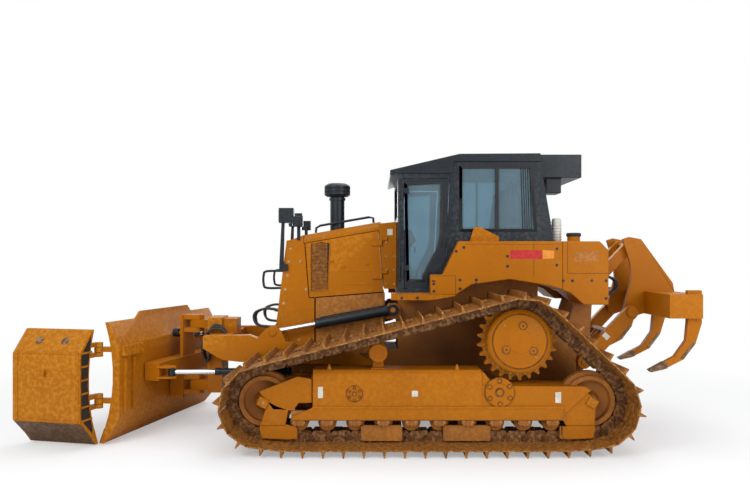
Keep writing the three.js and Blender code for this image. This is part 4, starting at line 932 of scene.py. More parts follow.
sieve, nodes, links, source, sink = recipe("sieve", [("Radius", "Float", 0.008),
                                                     ("Material", "Material", None)])
hole_rim = nodes.new("GeometryNodeCurvePrimitiveCircle")
hole_rim.inputs["Resolution"].default_value = 8
wire = nodes.new("GeometryNodeCurvePrimitiveCircle")
wire.inputs["Resolution"].default_value = 4
wire.inputs["Radius"].default_value = 0.0026
links.new(source.outputs["Radius"], hole_rim.inputs["Radius"])
swept = nodes.new("GeometryNodeCurveToMesh")
links.new(hole_rim.outputs["Curve"], swept.inputs["Curve"])
links.new(wire.outputs["Curve"], swept.inputs["Profile Curve"])
upright = nodes.new("FunctionNodeEulerToRotation")
upright.inputs[0].default_value = (math.radians(90), 0, 0)
copies_laid(nodes, links, source, sink, swept.outputs["Mesh"], upright.outputs[0])

screen_edge = [(1282, 2163), (1160, 2185), (1060, 2170), (1083, 1627), (1282, 1612)]
for side, s in both_sides:
    refined(f"engine_door_{side}", amber, 3)
    face = s * bonnet_half
    body = f"engine_door_{side}"
    # A near-black sheet behind the perforated screen: painted shade of the bonnet's inside, seen through the
    # holes.
    Shape().prism(screen_edge, face - 3 * s, face + 0.8 * s).build(
        f"screen_back_{side}", seam_and_shade_dark, body, "black_paint", 0)
    places = []
    for row in range(34):
        z = 1632 + row * 16
        for column in range(13):
            x = 1096 + column * 16 + (8 if row % 2 else 0)
            if x < 1272 and z < 2176 - abs(x - 1160) * 0.12:
                places.append(at(x, face + 2.5 * s, z))
    mesh_screen = carrier(f"perforated_screen_{side}", places)
    grown(mesh_screen, sieve, Radius=0.0078, Material=dusty_amber)
    settle(mesh_screen, body)
    rim = Shape()
    for (x0, z0), (x1, z1) in zip(screen_edge, screen_edge[1:] + screen_edge[:1]):
        rim.pin((x0, face + s, z0), (x1, face + s, z1), 6, 10, 1)
    for x, z in ((1040, 1964), (902, 1901), (640, 1930)):
        rim.lathe([(0, 0), (20, 0), (20, 5 * s), (15, 9 * s), (0, 9 * s)], (x, face, z), sides=28)
        rim.block(x - 14, x + 14, face, face + 14 * s, z - 4, z + 4)
    for z in (1700, 1850, 2000):
        rim.block(560, 900, face - s, face + 5 * s, z, z + 12)
    rim.build(f"engine_door_trim_{side}", amber, body, "yellow_paint", 1.2)
    Shape().block(340, 402, face, face + s, 2262, 2332).build(
        f"cowl_label_{side}", label, "chassis", "yellow_paint", 0.4)
    bolts(f"cowl_bolts_{side}", [(x, face + 0.5 * s, z) for x in (325, 415) for z in (1700, 1860, 2020, 2180)]
          + [(x, face + 0.5 * s, 2363 - (x - 790) * hood_slope - 60) for x in (620, 790, 960, 1130, 1300)],
          (0, s, 0), 8, 6, bare_steel, "chassis")
panel_tops = Shape()
for x in (600, 880, 1160):
    z = 2263 + (1365 - x) * hood_slope
    panel_tops.prism([(x - 6, z - 4), (x + 6, z - 4 - 12 * hood_slope), (x + 6, z + 3 - 12 * hood_slope),
                      (x - 6, z + 3)], -410, 370)
panel_tops.build("bonnet_ribs", amber, "chassis", "yellow_paint", 1.5)


def posts_round(shape, x, y, ring, count, low, high, radius, sides, edge):
    """Upright round posts, evenly spaced round a ring."""
    for i in range(count):
        turn = 2 * math.pi * i / count
        px, py = x + ring * math.cos(turn), y + ring * math.sin(turn)
        shape.pin((px, py, low), (px, py, high), radius, sides, edge)


refined("hood_handrail", black, 0)
chimney = Shape().lathe(
    [(0, 0), (84, 0), (84, 470), (96, 474), (96, 500), (84, 504), (84, 512), (122, 516), (146, 534),
     (152, 540), (152, 556), (146, 562), (146, 574), (152, 580), (152, 596), (146, 602), (146, 614),
     (152, 620), (152, 638), (140, 652), (112, 668), (60, 667), (0, 667)], (985, 284, 2200), (0, 0, 1), 64)
posts_round(chimney, 985, 284, 148, 40, 2738, 2838, 3, 6, 1)
chimney.build("air_intake", black, "chassis", "black_paint", 0, ["intake_stack"], angle=30)


# ---------------------------------------------------------------------------
# Work lamps. Square lamp boxes on bent posts beside the radiator guard, each with a ribbed lens in
# a black shell, and a smaller pair lower down behind them.
# ---------------------------------------------------------------------------

def glazing(name, clear, hazy, roughness, passing=1.0):
    """Clear glass with a thin, uneven film of dust."""
    material, nodes, links, principled = blank_finish(name)
    principled.inputs["Transmission Weight"].default_value = passing
    principled.inputs["IOR"].default_value = 1.45
    tone = placed(nodes, mottle, Light=clear, Dark=hazy, Scale=3.0)
    film = placed(nodes, dusty, Dust=(0.45, 0.40, 0.33), Amount=0.12)
    links.new(tone.outputs["Colour"], film.inputs["Colour"])
    links.new(film.outputs["Colour"], principled.inputs["Base Color"])
    dull = mapped(nodes, links, film.outputs["Mask"], 0.0, 1.0, roughness, roughness + 0.3)
    links.new(dull, principled.inputs["Roughness"])
    return material


tinted = glazing("tinted_glass", (0.22, 0.36, 0.43), (0.17, 0.29, 0.36), 0.02, passing=0.68)
lens_glass = glazing("lamp_lens", (0.92, 0.93, 0.92), (0.80, 0.82, 0.82), 0.08)
reflector = surface("lamp_reflector", (0.75, 0.76, 0.77), (0.6, 0.6, 0.62), 0.18, metallic=1.0, mottling=12,
                    dusting=0.15, bare=(0.8, 0.8, 0.8), wear=0.1, grain=60, pits=0.6, relief=0.2)
for side, s in both_sides:
    refined(f"light_post_{side}", black, 5, segments=3)
    y0, y1 = sorted((s * 425, s * 545))
    Shape().prism([(1636, 2414), (1640.5, 2418), (1640.5, 2552), (1636, 2556)], y0 + 4, y1 - 4).build(
        f"lamp_mirror_{side}", reflector, "chassis", "black_paint", 0.5)
    lens = Shape()
    for i in range(9):
        y = y0 + 8 + i * (y1 - y0 - 16) / 9
        lens.block(1641, 1645, y, y + (y1 - y0 - 20) / 9, 2420, 2550)
    lens.build(f"lamp_lens_{side}", lens_glass, "chassis", "black_paint", 1)
    small = Shape()
    small.block(1365, 1480, s * 474, s * 560, 2355, 2475)
    small.block(1400, 1440, s * 440, s * 475, 2200, 2400)
    small.build(f"side_lamp_{side}", black, "chassis", "black_paint", 6, segments=3)
    Shape().block(1480.5, 1485, s * 480, s * 554, 2362, 2468).build(
        f"side_lamp_lens_{side}", lens_glass, "chassis", "black_paint", 1)


# ---------------------------------------------------------------------------
# Cab. A black welded steel cage with large panes in rubber seals, hinged doors that slant off above
# the step boxes, and a roof panel whose front edge slopes down over the windscreen.
# ---------------------------------------------------------------------------

def inset(outline, distance):
    """The outline moved inwards by a distance, corner by corner, whichever way round it runs."""
    turning = sum(a[0] * b[1] - b[0] * a[1] for a, b in zip(outline, outline[1:] + outline[:1]))
    way = 1 if turning > 0 else -1
    moved = []
    for i, here in enumerate(outline):
        before, after = outline[i - 1], outline[(i + 1) % len(outline)]
        one = Vector((here[0] - before[0], here[1] - before[1])).normalized()
        two = Vector((after[0] - here[0], after[1] - here[1])).normalized()
        n1 = Vector((-one.y, one.x)) * way
        n2 = Vector((-two.y, two.x)) * way
        bisector = (n1 + n2) / max(0.35, 1 + n1.dot(n2))
        moved.append((here[0] + bisector.x * distance, here[1] + bisector.y * distance))
    return moved


def seal(shape, outline, width, low, high, seen="side"):
    """A strip of one width that runs inside an outline, as solid bars with mitred ends."""
    inner = inset(outline, width)
    for i in range(len(outline)):
        j = (i + 1) % len(outline)
        shape.prism([outline[i], outline[j], inner[j], inner[i]], low, high, seen)
    return shape


rubber = surface("rubber_seal", (0.012, 0.012, 0.013), (0.007, 0.007, 0.008), 0.62, mottling=12, dusting=0.4,
                 dust=(0.12, 0.10, 0.08), bare=(0.04, 0.04, 0.04), wear=0.2, grain=240, pits=0.2, relief=0.06)
door_pane = [(183, 1744), (205, 2820), (-200, 2840), (-190, 2250), (-159, 2108), (0, 1800), (0, 1744)]
rear_pane = [(-400, 2300), (-400, 3010), (-1180, 3010), (-1235, 2300)]
front_pane = [(-640, 2460), (640, 2460), (640, 2870), (-640, 2870)]

refined("cab_shell", black, 6, segments=3)
refined("cab_roof", black, 9, segments=3)
refined("windscreen", tinted, 0)
refined("rear_window", tinted, 0)
front_seal = Shape()
seal(front_seal, inset(front_pane, -14), 34, 281, 288.5, "front")
front_seal.build("windscreen_seal", rubber, "chassis", "black_paint", 1.5)
wiper = Shape().pin((289, 120, 2440), (289.5, 300, 2760), 6, 10, 1)
wiper.block(286, 290, 60, 540, 2752, 2766)
wiper.build("front_wiper", rubber, "chassis", "black_paint", 0.8)
for side, s in both_sides:
    out = s * 801
    refined(f"cab_door_{side}", black, 4, segments=3)
    refined(f"door_glass_{side}", tinted, 0)
    refined(f"side_window_{side}", tinted, 0)
    body = f"cab_door_{side}"
    edge = Shape()
    seal(edge, inset(door_pane, -12), 30, out - 6 * s, out + 2.5 * s)
    edge.build(f"door_seal_{side}", rubber, body, "black_paint", 1.5)
    furniture = Shape()
    furniture.block(-232, -196, out - 2 * s, out + 9 * s, 2110, 2230)
    furniture.pin((-214, out + 20 * s, 2125), (-214, out + 20 * s, 2215), 8, 16, 2)
    for z in (2128, 2212):
        furniture.pin((-214, out + 4 * s, z), (-214, out + 22 * s, z), 6, 12, 1)
    furniture.build(f"door_handle_{side}", rubber, body, "black_paint", 2)
    frame_edge = Shape()
    seal(frame_edge, inset(rear_pane, -14), 34, out - 6 * s, out + 2.5 * s)
    frame_edge.block(-822, -786, out - 6 * s, out + 3 * s, 2308, 3002)
    for i in range(5):
        x = -1196 + i * 24
        frame_edge.prism([(x + 2, 2316), (x + 12, 2316), (x + 34, 2990), (x + 24, 2990)],
                         s * 782, s * 788)
    frame_edge.build(f"side_window_seal_{side}", rubber, "chassis", "black_paint", 1.5)
    grip = Shape().tube([(268, s * 812, 1790), (276, s * 828, 1800), (276, s * 828, 2420),
                         (268, s * 812, 2430)], 9, 12, 5)
    grip.build(f"cab_grip_{side}", black, "chassis", "black_paint", 0)


# ---------------------------------------------------------------------------
# Inside the cab. A console with levers stands ahead of a suspension seat with armrests; the
# seat's cushion and back are one padded piece in dark woven cloth.
# ---------------------------------------------------------------------------

plastic = surface("moulded_plastic", (0.045, 0.046, 0.050), (0.030, 0.031, 0.034), 0.55, mottling=6,
                  dusting=0.3, dust=(0.15, 0.12, 0.09), bare=(0.08, 0.08, 0.08), wear=0.3, grain=260,
                  pits=0.5, relief=0.12)
refined("operator_seat", plastic, 8, segments=3)
refined("control_console", plastic, 10, segments=3)
levers = Shape()
for y in (-345, 345):
    levers.lathe([(0, 0), (14, 0), (11, 30), (20, 60), (24, 96), (20, 122), (0, 128)], (-452, y, 2448),
                 (0.15, 0, 1), 24)
for y in (-180, -60, 60, 180):
    levers.block(60, 66, y - 40, y + 40, 2060, 2130)
levers.build("control_levers", plastic, "chassis", "seat_frame", 3)

woven, nodes, links, principled = blank_finish("woven_cloth")
principled.inputs["Sheen Weight"].default_value = 0.4
principled.inputs["Roughness"].default_value = 0.9
place = nodes.new("ShaderNodeTexCoord")
threads = []
for direction in ("X", "Z"):
    wave = nodes.new("ShaderNodeTexWave")
    wave.bands_direction = direction
    wave.inputs["Scale"].default_value = 90
    wave.inputs["Distortion"].default_value = 0.6
    links.new(place.outputs["Object"], wave.inputs["Vector"])
    threads.append(wave.outputs["Fac"])
crossed = reckoned(nodes, links, *threads, "ADD", clamp=False)
cloth_tone = placed(nodes, mottle, Light=(0.075, 0.078, 0.088), Dark=(0.045, 0.047, 0.055), Scale=14)
links.new(cloth_tone.outputs["Colour"], principled.inputs["Base Color"])
embossed(nodes, links, principled, crossed, 0.35, 0.001)

pad = Shape()
pad.prism([(-466, 2150), (-466, 2222), (-866, 2222), (-944, 2812), (-1044, 2812), (-1052, 2700),
           (-994, 2150)], -240, 240)
cushion = bpy.data.objects.new("seat_pad", pad.mesh("seat_pad"))
scene.collection.objects.link(cushion)
cushion.data.materials.append(woven)
# The cloth swells for so many steps, and no point of it moves further than this many metres.
swell_steps, swell_cap = 20, 0.022
remesh = cushion.modifiers.new("even", "REMESH")
remesh.mode = "VOXEL"
remesh.voxel_size = 0.009
whole = evaluated(cushion)
cushion.modifiers.remove(remesh)
cushion.data = whole
start = [v.co.copy() for v in cushion.data.vertices]
cloth = cushion.modifiers.new("swell", "CLOTH")
cloth.settings.use_pressure = True
cloth.settings.uniform_pressure_force = 4.0
cloth.settings.effector_weights.gravity = 0.0
cloth.point_cache.frame_start = 1
cloth.point_cache.frame_end = swell_steps
for step in range(1, swell_steps + 1):
    scene.frame_set(step)
swollen = evaluated(cushion)
cushion.modifiers.remove(cloth)
for vertex, before in zip(swollen.vertices, start):
    move = vertex.co - before
    if move.length > swell_cap:
        vertex.co = before + move.normalized() * swell_cap
cushion.data = swollen
scene.frame_set(1)
if not cushion.data.materials:
    cushion.data.materials.append(woven)
cushion.data.polygons.foreach_set("use_smooth", [True] * len(cushion.data.polygons))
finer = cushion.modifiers.new("fine", "SUBSURF")
finer.levels = finer.render_levels = 1
settle(cushion, "chassis", ["seat_cushion"])


# ---------------------------------------------------------------------------
# Air conditioner and filter can. A black sheet-metal box with a slatted back hangs behind the roof
# over the rear window, and a pale ribbed canister stands on the deck below it.
# ---------------------------------------------------------------------------

refined("air_conditioner", black, 10, segments=3)
vents = Shape()
for i in range(9):
    z = 2930 + i * 24
    vents.prism([(-1790, z), (-1790.5, z + 14), (-1782, z + 18), (-1782, z + 2)], -520, 520)
vents.build("cooler_slats", black, "chassis", "black_paint", 0.8, segments=1)
bolts("cooler_bolts", [(x, s * 621, z) for s in (1, -1) for x in (-1345, -1560, -1750) for z in (2960, 3130)],
      [(0, s, 0) for s in (1, -1) for _ in range(6)], 8, 6, black, "chassis")
pale = surface("pale_enamel", (0.72, 0.70, 0.64), (0.58, 0.56, 0.50), 0.42, mottling=10, dusting=0.5,
               dust=(0.35, 0.25, 0.14), bare=(0.4, 0.38, 0.34), wear=0.4, grain=140, pits=0.2, relief=0.06)
can = [(0, 0), (46, 0), (52, 6)]
for i in range(7):
    z = 16 + i * 32
    can += [(52, z), (57, z + 6), (57, z + 16), (52, z + 22)]
can += [(52, 250), (40, 262), (0, 262)]
Shape().lathe(can, (-1500, 640, 2180.5), (0, 0, 1), 48).build(
    "filter_can", pale, "chassis", "black_paint", 0, angle=30)


# ---------------------------------------------------------------------------
# Fenders. Steel boxes over the tracks beside the cab, each with a square step box at its front, a
# gusset on its deck and a serrated step below the door. Bolts hold their panels.
# ---------------------------------------------------------------------------

red_band = surface("red_band", (0.47, 0.008, 0.008), (0.38, 0.006, 0.007), 0.45, mottling=8, dusting=0.15,
                   dust=(0.33, 0.12, 0.05), bare=(0.55, 0.1, 0.05), wear=0.3, grain=160, pits=0.1,
                   relief=0.04)
light_band = surface("light_band", (0.72, 0.25, 0.015), (0.62, 0.20, 0.012), 0.45, mottling=8, dusting=0.2,
                     bare=(0.8, 0.4, 0.1), wear=0.3, grain=160, pits=0.1, relief=0.04)
teeth, nodes, links, source, sink = recipe("teeth", [("Width", "Float", 0.13),
                                                     ("Material", "Material", None)])
tooth = nodes.new("GeometryNodeMeshCylinder")
tooth.inputs["Vertices"].default_value = 3
tooth.inputs["Radius"].default_value = 0.011
links.new(source.outputs["Width"], tooth.inputs["Depth"])
lying_down = nodes.new("FunctionNodeEulerToRotation")
lying_down.inputs[0].default_value = (math.radians(90), 0, 0)
copies_laid(nodes, links, source, sink, tooth.outputs["Mesh"], lying_down.outputs[0])

fender_face = 950
fender_bolts = [(-338, 2071), (-419, 2112), (-893, 2017), (-1427, 2098), (-1427, 1922), (-893, 1909),
                (-554, 1760), (-554, 1719), (-378, 1760), (-378, 1665), (-94, 1719), (-94, 1638)]
for side, s in both_sides:
    face = s * fender_face
    refined(f"fender_{side}", amber, 12, segments=4)
    trim = Shape()
    trim.prism([(-500, 2179), (-545, 2330), (-600, 2345), (-820, 2235), (-820, 2179)], s * 808, s * 822)
    trim.block(-62, 366, s * 804, s * 944, 1540, 1606)
    trim.prism([(-60, 1540), (-62, 1606), (-330, 1598), (-333, 1586)], s * 804, s * 944)
    trim.build(f"fender_trim_{side}", amber, "chassis", "yellow_paint", 4)
    grate = carrier(f"step_teeth_{side}", [at(-40 + i * 21, s * 874, 1611) for i in range(20)])
    grown(grate, teeth, Width=0.13, Material=dusty_amber)
    settle(grate, "chassis")
    lines = Shape()
    for x0, x1, z0, z1 in ((-333, -329, 1612, 1805), (-329, -70, 1803, 1807), (-112, -72, 1740, 1756),
                           (-1180, -1176, 1800, 2160), (-1476, -440, 2146, 2149)):
        lines.block(x0, x1, face, face + 0.8 * s, z0, z1)
    lines.build(f"fender_seams_{side}", seam_and_shade_dark, "chassis", "yellow_paint", 0)
    Shape().block(-1268, -920, face - 2 * s, face + 0.9 * s, 1987, 2085).build(
        f"side_band_{side}", red_band, "chassis", "yellow_paint", 0.4)
    Shape().prism([(-1274, 1987), (-1397, 1995), (-1397, 2077), (-1274, 2085)], face - 2 * s,
                  face + 0.9 * s).build(f"band_tail_{side}", light_band, "chassis", "yellow_paint", 0.4)
    bolts(f"fender_bolts_{side}", [(x, face + 0.5 * s, z) for x, z in fender_bolts], (0, s, 0), 11, 8,
          black, "chassis")
    bolts(f"step_bolts_{side}", [(x, s * 944.5, 1565) for x in (253, 83)], (0, s, 0), 11, 8, black,
          "chassis")


# ---------------------------------------------------------------------------
# Fuel tank. A welded box across the back, its rear corner sloped, with a filler neck under a black
# cap on the left and a lower panel that is bolted on.
# ---------------------------------------------------------------------------

refined("fuel_tank", amber, 12, segments=4)
cap = Shape().lathe([(0, 0), (72, 0), (78, 6), (78, 34), (70, 42), (20, 44), (0, 44)], (-1660, 760, 2234),
                    (0, 0, 1), 36)
posts_round(cap, -1660, 760, 77, 12, 2240, 2268, 6, 8, 2)
cap.build("filler_cap", rubber, "chassis", "black_paint", 1)
for side, s in both_sides:
    face = s * fender_face
    lines = Shape()
    lines.block(-1545, -1541, face, face + 0.8 * s, 1833, 2168)
    lines.block(-1988, -1541, face, face + 0.8 * s, 1830, 1834)
    lines.build(f"tank_seams_{side}", seam_and_shade_dark, "chassis", "yellow_paint", 0)
    Shape().block(-1880, -1620, face - 2 * s, face + 0.9 * s, 1960, 2070).build(
        f"tank_plate_{side}", dusty_amber, "chassis", "yellow_paint", 0.4)
    bolts(f"tank_bolts_{side}", [(x, face + 0.5 * s, z) for x, z in (
        (-1497, 1752), (-1597, 1752), (-1806, 1752), (-1960, 1752), (-1960, 1560))], (0, s, 0), 11, 8,
        black, "chassis")
back_panel = Shape()
for s in (1, -1):
    back_panel.block(-1996, -1989, s * 110, s * 560, 1700, 2040)
    back_panel.block(-1999, -1992, s * 292, s * 308, 1720, 2020)
back_panel.build("tank_back_panel", amber, "chassis", "yellow_paint", 3)


# ---------------------------------------------------------------------------
# C-frame. Two forged arms hang on trunnions at the hull and meet in a cross member, with a nose that
# holds the blade's upright axis and lugs for the cylinders. Hoses run along its nose.
# ---------------------------------------------------------------------------

hose = surface("hose_rubber", (0.016, 0.016, 0.017), (0.010, 0.010, 0.011), 0.5, mottling=16, dusting=0.5,
               dust=(0.16, 0.11, 0.07), bare=(0.05, 0.05, 0.05), wear=0.2, grain=320, pits=0.2, relief=0.08)
refined("c_frame", amber, 6, segments=3)
refined("blade_yoke", amber, 5, segments=3)
joints_trim = Shape()
for s in (1, -1):
    joints_trim.lathe([(0, 0), (86, 0), (92, 6 * s), (92, 18 * s), (84, 26 * s), (30, 26 * s), (26, 20 * s),
                       (0, 20 * s)], (320, s * 651, 620), (0, 1, 0), 48)
    for k in (-1, 1):
        joints_trim.lathe([(0, 0), (38, 0), (42, 4 * k), (42, 11 * k), (36, 16 * k), (0, 16 * k)],
                          (1696, s * 585 + k * 64.5, 1162), (0, 1, 0), 32)
    joints_trim.prism([(420, 590), (940, 800), (2040, 828), (2040, 842), (940, 815), (420, 610)],
                      s * 649, s * 656)
joints_trim.build("c_frame_pins", amber, "c_frame", "yellow_paint", 2)
bolts("trunnion_bolts", [p for s in (1, -1) for p in circle(320, 620, 62, 6, s * 677)],
      [(0, s, 0) for s in (1, -1) for _ in range(6)], 9, 8, bare_steel, "c_frame")
nose_hoses = Shape()
for s in (1, -1):
    for k in range(3):
        y = s * (212 + k * 34)
        nose_hoses.tube([(2300, y, 1108), (2360, y, 1190 - k * 16), (2450, y, 1200 - k * 20),
                         (2530 + k * 8, y, 1080), (2560 + k * 8, y, 920), (2520, y, 780), (2478, y, 930)],
                        13, 14, 6)
nose_hoses.build("nose_hoses", hose, "c_frame", "black_paint", 0)


# ---------------------------------------------------------------------------
# Blade. A curved moldboard on a box-section back, tilting on a boss in the yoke. A hardened cutting
# edge is bolted along its foot, and thin gussets stiffen the back near its ends.
# ---------------------------------------------------------------------------

blade_pivot, blade_angle = 2697, -13
blade_turn = Matrix.Translation((blade_pivot, 0, 0)) @ Matrix.Rotation(math.radians(blade_angle), 4, "Z")
edge_steel = surface("edge_steel", (0.13, 0.062, 0.024), (0.062, 0.030, 0.013), 0.45, metallic=0.6,
                     mottling=7, dusting=0.45, dust=(0.17, 0.075, 0.022), bare=(0.32, 0.22, 0.14), wear=0.8,
                     grain=110, pits=0.5, relief=0.2)
refined("blade", amber, 0)

blade_back, wing_back = 300, -245
edge_out = Vector((0.93, 0, 0.36))


def edge_plate(shift, low, high):
    """The cutting edge's section ahead of a board's back plane, between two places across it."""
    section = [(shift + 235, 17), (shift + 173, 177), (shift + 183, 182), (shift + 244, 22)]
    return Shape().prism(section, low, high)


edge_plate(blade_back, -1196, 1196).build("cutting_edge", edge_steel, "blade", "yellow_paint", 2.5,
                                   turn=blade_turn)
ahead = blade_turn.to_3x3() @ edge_out
bolts("cutting_edge_bolts", [blade_turn @ Vector((blade_back + 212, v, 108))
                             for v in range(-1120, 1121, 160)],
      tuple(ahead), 13, 7, edge_steel, "blade")
gussets = Shape()
for s in (1, -1):
    for v in (960, 1120):
        gussets.prism([(302, 330), (268, 380), (262, 900), (302, 940)], s * v - 8, s * v + 8)
    gussets.block(296, 301, s * 930, s * 1180, 600, 616)
gussets.build("blade_gussets", amber, "blade", "yellow_paint", 3, turn=blade_turn)


# ---------------------------------------------------------------------------
# Wings. The blade's folding ends, parked straight ahead. Each is a short moldboard with an open
# ribbed end that meets the middle section, a lifting eye, two holes near its top, and a dark steel
# foot. A near-black sheet in the open end is painted shade, and the foot's darkness is partly painted
# shade of the wing's underside.
# ---------------------------------------------------------------------------

for side, s in both_sides:
    body = f"wing_{side}"
    wing_turn = (blade_turn @ Matrix.Translation((545, s * 1203, 0))
                 @ Matrix.Rotation(-s * math.radians(90), 4, "Z"))
    refined(body, amber, 0)
    edge_plate(wing_back, s * 8, s * 796).build(f"wing_edge_{side}", edge_steel, body, "yellow_paint", 2.5,
                                               turn=wing_turn)
    # A near-black sheet across the open ribbed end: painted shade of the box's hollow inside, seen between
    # the ribs.
    section_end = [(-300, 330), (-300, 985), (-135, 1180), (-130, 1120), (-175, 900), (-190, 660),
                   (-160, 400), (-105, 190), (-120, 150)]
    Shape().prism(section_end, s * 2.0, s * 3.4).build(f"wing_end_panel_{side}", seam_and_shade_dark, body,
                                                       "yellow_paint", 0, turn=wing_turn)
    ribs = Shape()
    for z in (300, 440, 580, 720, 860, 1000):
        ribs.block(-318, -110 - (60 if 400 < z < 950 else 0), s * 0.9, s * 3.4, z, z + 20)
    ribs.block(-323, -306, s * 0.9, s * 3.4, 300, 1000)
    ribs.build(f"wing_end_ribs_{side}", amber, body, "yellow_paint", 0.6, turn=wing_turn)
    back = Shape()
    back.block(-333, -323, s * 14, s * 763, 1000, 1026)
    back.block(-331, -323, s * 14, s * 763, 296, 318)
    for v in (14, 739):
        back.block(-331, -323, s * v, s * (v + 24), 300, 1010)
    back.ring((-336, s * 410 - 12, 800), (0, 1, 0), 38, 19, 24, 28, 3)
    back.build(f"wing_back_{side}", amber, body, "yellow_paint", 3, turn=wing_turn)
    holes = Shape()
    for v in (250, 560):
        holes.lathe([(0, -4), (46, -4), (46, 1.5), (0, 1.5)], (-212, s * v, 1126), (-0.745, 0, 0.667), 36)
    holes.build(f"wing_holes_{side}", edge_steel, body, "yellow_paint", 0, turn=wing_turn)
    # A thin dark strip along the wing's lower back: partly the steel's own colour, partly painted shade under
    # the wing.
    Shape().prism([(-308, 283.5), (-310.2, 281.3), (-142.4, 117.8), (-55, 17.5), (-52, 17.5), (-140, 120)],
                  s * 6, s * 792).build(f"wing_foot_{side}", edge_steel, body, "yellow_paint", 0.8,
                                        turn=wing_turn)
    outward = wing_turn.to_3x3() @ edge_out
    bolts(f"wing_edge_bolts_{side}", [wing_turn @ Vector((wing_back + 212, s * v, 108))
                                      for v in range(90, 760, 130)],
          tuple(outward), 13, 7, edge_steel, body)


# ---------------------------------------------------------------------------
# Cylinders. Black barrels with a bolted gland at the open end, and polished rods that slide in
# them to a round eye. Steel pipes lie along each barrel to the two ends.
# ---------------------------------------------------------------------------

def ram(name, base, end, roll, length, radius, rod, eye, hole, half_width, reach, rod_eye, rod_half,
        outer=Matrix.Identity(4), collar=22):
    """One cylinder between its pins, drawn along x from the base pin and then laid in place."""
    base, end = Vector(base), Vector(end)
    along = (end - base).normalized()
    across = Vector(roll).normalized()
    third = along.cross(across)
    span = (end - base).length
    lay = Matrix((along, across, third)).transposed().to_4x4()
    turn = outer @ Matrix.Translation(base) @ lay
    barrel_body, rod_body = name.replace("cylinder", "barrel"), name.replace("cylinder", "rod")
    barrel = Shape().lathe(
        [(0, eye - 10), (radius - 6, eye - 10), (radius, eye - 4), (radius, length - 62),
         (radius + 5, length - 56), (radius + 5, length - 4), (radius + 1, length), (rod + 1, length),
         (rod + 1, eye + 14), (0, eye + 14)], (0, 0, 0), (1, 0, 0), 48)
    barrel.ring((0, -half_width, 0), (0, 1, 0), eye, hole, 2 * half_width, 40, 4)
    barrel.build(f"{name}_barrel", black, barrel_body, "black_paint", 1.5, [barrel_body], turn, angle=30)
    pipe = Shape().tube([(eye + 30, 0, radius - 3), (eye + 42, 0, radius + 9), (length * 0.5, 0, radius + 9),
                         (length - 100, 0, radius + 9), (length - 78, 0, radius - 2)], 7, 12, 5)
    for place in (0.3, 0.65):
        pipe.block(length * place, length * place + 18, -14, 14, radius - 6, radius + 17)
    pipe.build(f"{name}_pipe", black, barrel_body, "black_paint", 1, turn=turn)
    shaft = Shape().lathe([(0, span - reach), (rod - 3, span - reach), (rod, span - reach + 3),
                           (rod, span - rod_eye + 8), (0, span - rod_eye + 8)], (0, 0, 0), (1, 0, 0), 40)
    shaft.build(f"{name}_rod", chrome, rod_body, "chrome_rod", 0, [rod_body], turn)
    knob = Shape().lathe([(0, -rod_half), (rod_eye - 5, -rod_half), (rod_eye, -rod_half + 5),
                          (rod_eye, rod_half - 5), (rod_eye - 5, rod_half), (0, rod_half)],
                         (span, 0, 0), (0, 1, 0), 40)
    knob.lathe([(0, span - rod_eye - collar), (rod + 7, span - rod_eye - collar),
                (rod + 9, span - rod_eye - collar + 8),
                (rod + 9, span - rod_eye + 12), (0, span - rod_eye + 12)], (0, 0, 0), (1, 0, 0), 32)
    knob.build(f"{name}_eye", black, rod_body, "chrome_rod", 1, turn=turn, angle=30)


for side, s in both_sides:
    ram(f"lift_cylinder_{side}", (340, s * 585, 1412), (1696, s * 585, 1162), (0, 1, 0), 894, 55, 32, 62, 32,
        50, 689, 46, 33)
    end = blade_turn @ Vector((-15, s * 653, 715))
    ram(f"angle_cylinder_{side}", (1550, s * 560, 715), end, (0, 0, 1), 800, 38, 26, 58, 32, 40, 664, 45, 40,
        collar=-4)
ram("tilt_cylinder", (220, 100, 1100), (220, -620, 1020), (1, 0, 0), 540, 40, 24, 50, 26, 38, 286, 44, 26,
    blade_turn)
ripper_start = Vector((-1880, 0, 790))
link_slope = math.radians(46.5)
link_way = Vector((-math.cos(link_slope), 0, math.sin(link_slope)))
ram("ripper_cylinder", (-1930, 0, 1800), ripper_start + link_way * 250, (0, 1, 0), 720, 48, 28, 56, 36, 44,
    735, 40, 38)


# ---------------------------------------------------------------------------
# Front guard fittings. A bent bar handle and a loop of hydraulic hose stand out from the front of
# the radiator guard, at the left and the right.
# ---------------------------------------------------------------------------

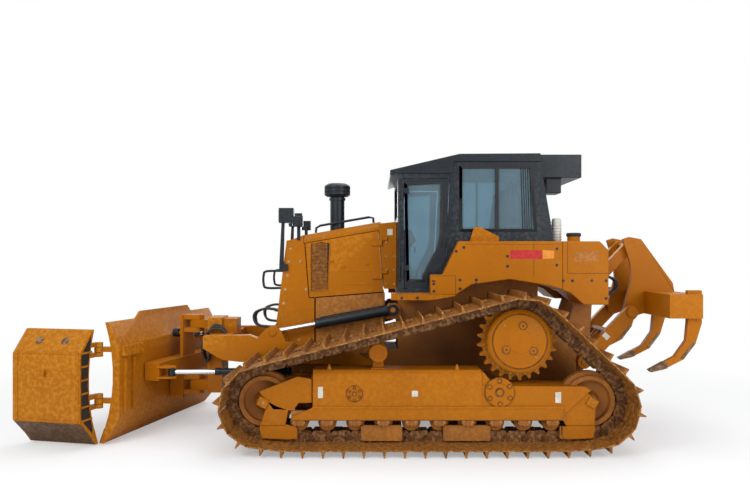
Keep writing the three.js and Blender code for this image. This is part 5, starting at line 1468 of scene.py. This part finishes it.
for side, s in both_sides:
    Shape().tube([(1600, s * 446, 1655), (1790, s * 446, 1655), (1826, s * 446, 1700), (1826, s * 446, 1800),
                  (1790, s * 446, 1846), (1580, s * 446, 1850)], 14, 16, 6).build(
        f"front_handle_{side}", black, "chassis", "black_paint", 0)
    loops = Shape()
    for k in range(2):
        y = s * (405 - k * 40)
        loops.tube([(1640, y, 1392), (1800, y, 1412), (1925 - k * 18, y, 1372), (1945 - k * 18, y, 1290),
                    (1880, y, 1216), (1660, y, 1200)], 14, 14, 7)
        for z in (1392, 1200):
            loops.pin((1645, y, z), (1705, y, z + (6 if z > 1300 else 2)), 18, 6, 2)
    loops.build(f"front_hoses_{side}", hose, "chassis", "black_paint", 0)


# ---------------------------------------------------------------------------
# Ripper. Two pairs of parallel links carry a box beam with three curved shanks, and one cylinder
# between them lifts it. Replaceable steel tips are pinned on the shanks.
# ---------------------------------------------------------------------------

refined("ripper_lower_link", amber, 5, segments=3)
refined("ripper_upper_link", amber, 5, segments=3)
refined("ripper_beam", amber, 7, segments=3)
shank_places = (-980, 0, 980)
tips = Shape()
for y in shank_places:
    tips.prism([(-2600, 812), (-2425, 768), (-2399, 792), (-2560, 880), (-2606, 866)], y - 40, y + 40)
    tips.prism([(-2905, 1081), (-2771, 905), (-2740, 922), (-2872, 1096)], y - 38, y + 38)
tips.build("ripper_tips", edge_steel, "ripper_beam", "yellow_paint", 3)
pin_caps = Shape()
for s in (1, -1):
    pin_caps.lathe([(0, 0), (58, 0), (62, 4 * s), (62, 12 * s), (56, 18 * s), (0, 18 * s)],
                   (-2430.7, s * 418, 1370.3), (0, 1, 0), 36)
pin_caps.build("ripper_pin_caps", amber, "ripper_beam", "yellow_paint", 1.5)
beam_trim = Shape()
for y in shank_places:
    beam_trim.block(-2962, -2952, y - 80, y + 80, 1380, 1600)
    for z in (1420, 1540):
        for pin_y in (y - 52, y + 52):
            beam_trim.pin((-2963, pin_y, z), (-2971, pin_y, z), 15, 14, 2)
beam_trim.build("beam_sockets", dusty_amber, "ripper_beam", "yellow_paint", 2)
for side, s in both_sides:
    rear_hoses = Shape()
    for k in range(2):
        y = s * (470 - k * 34)
        rear_hoses.tube([(-1985, y, 1560), (-2120, y, 1570 + k * 10), (-2240 + k * 20, y, 1650),
                         (-2230 + k * 20, y, 1740), (-2120, y, 1790), (-1985, y, 1800)], 13, 14, 6)
    rear_hoses.build(f"rear_hoses_{side}", hose, "chassis", "black_paint", 0)
    Shape().prism([(-2180, 1088), (-2140, 1046), (-2082, 1100), (-2122, 1142)], s * 411, s * 413).build(
        f"link_label_{side}", label, "ripper_lower_link", "yellow_paint", 0.3)
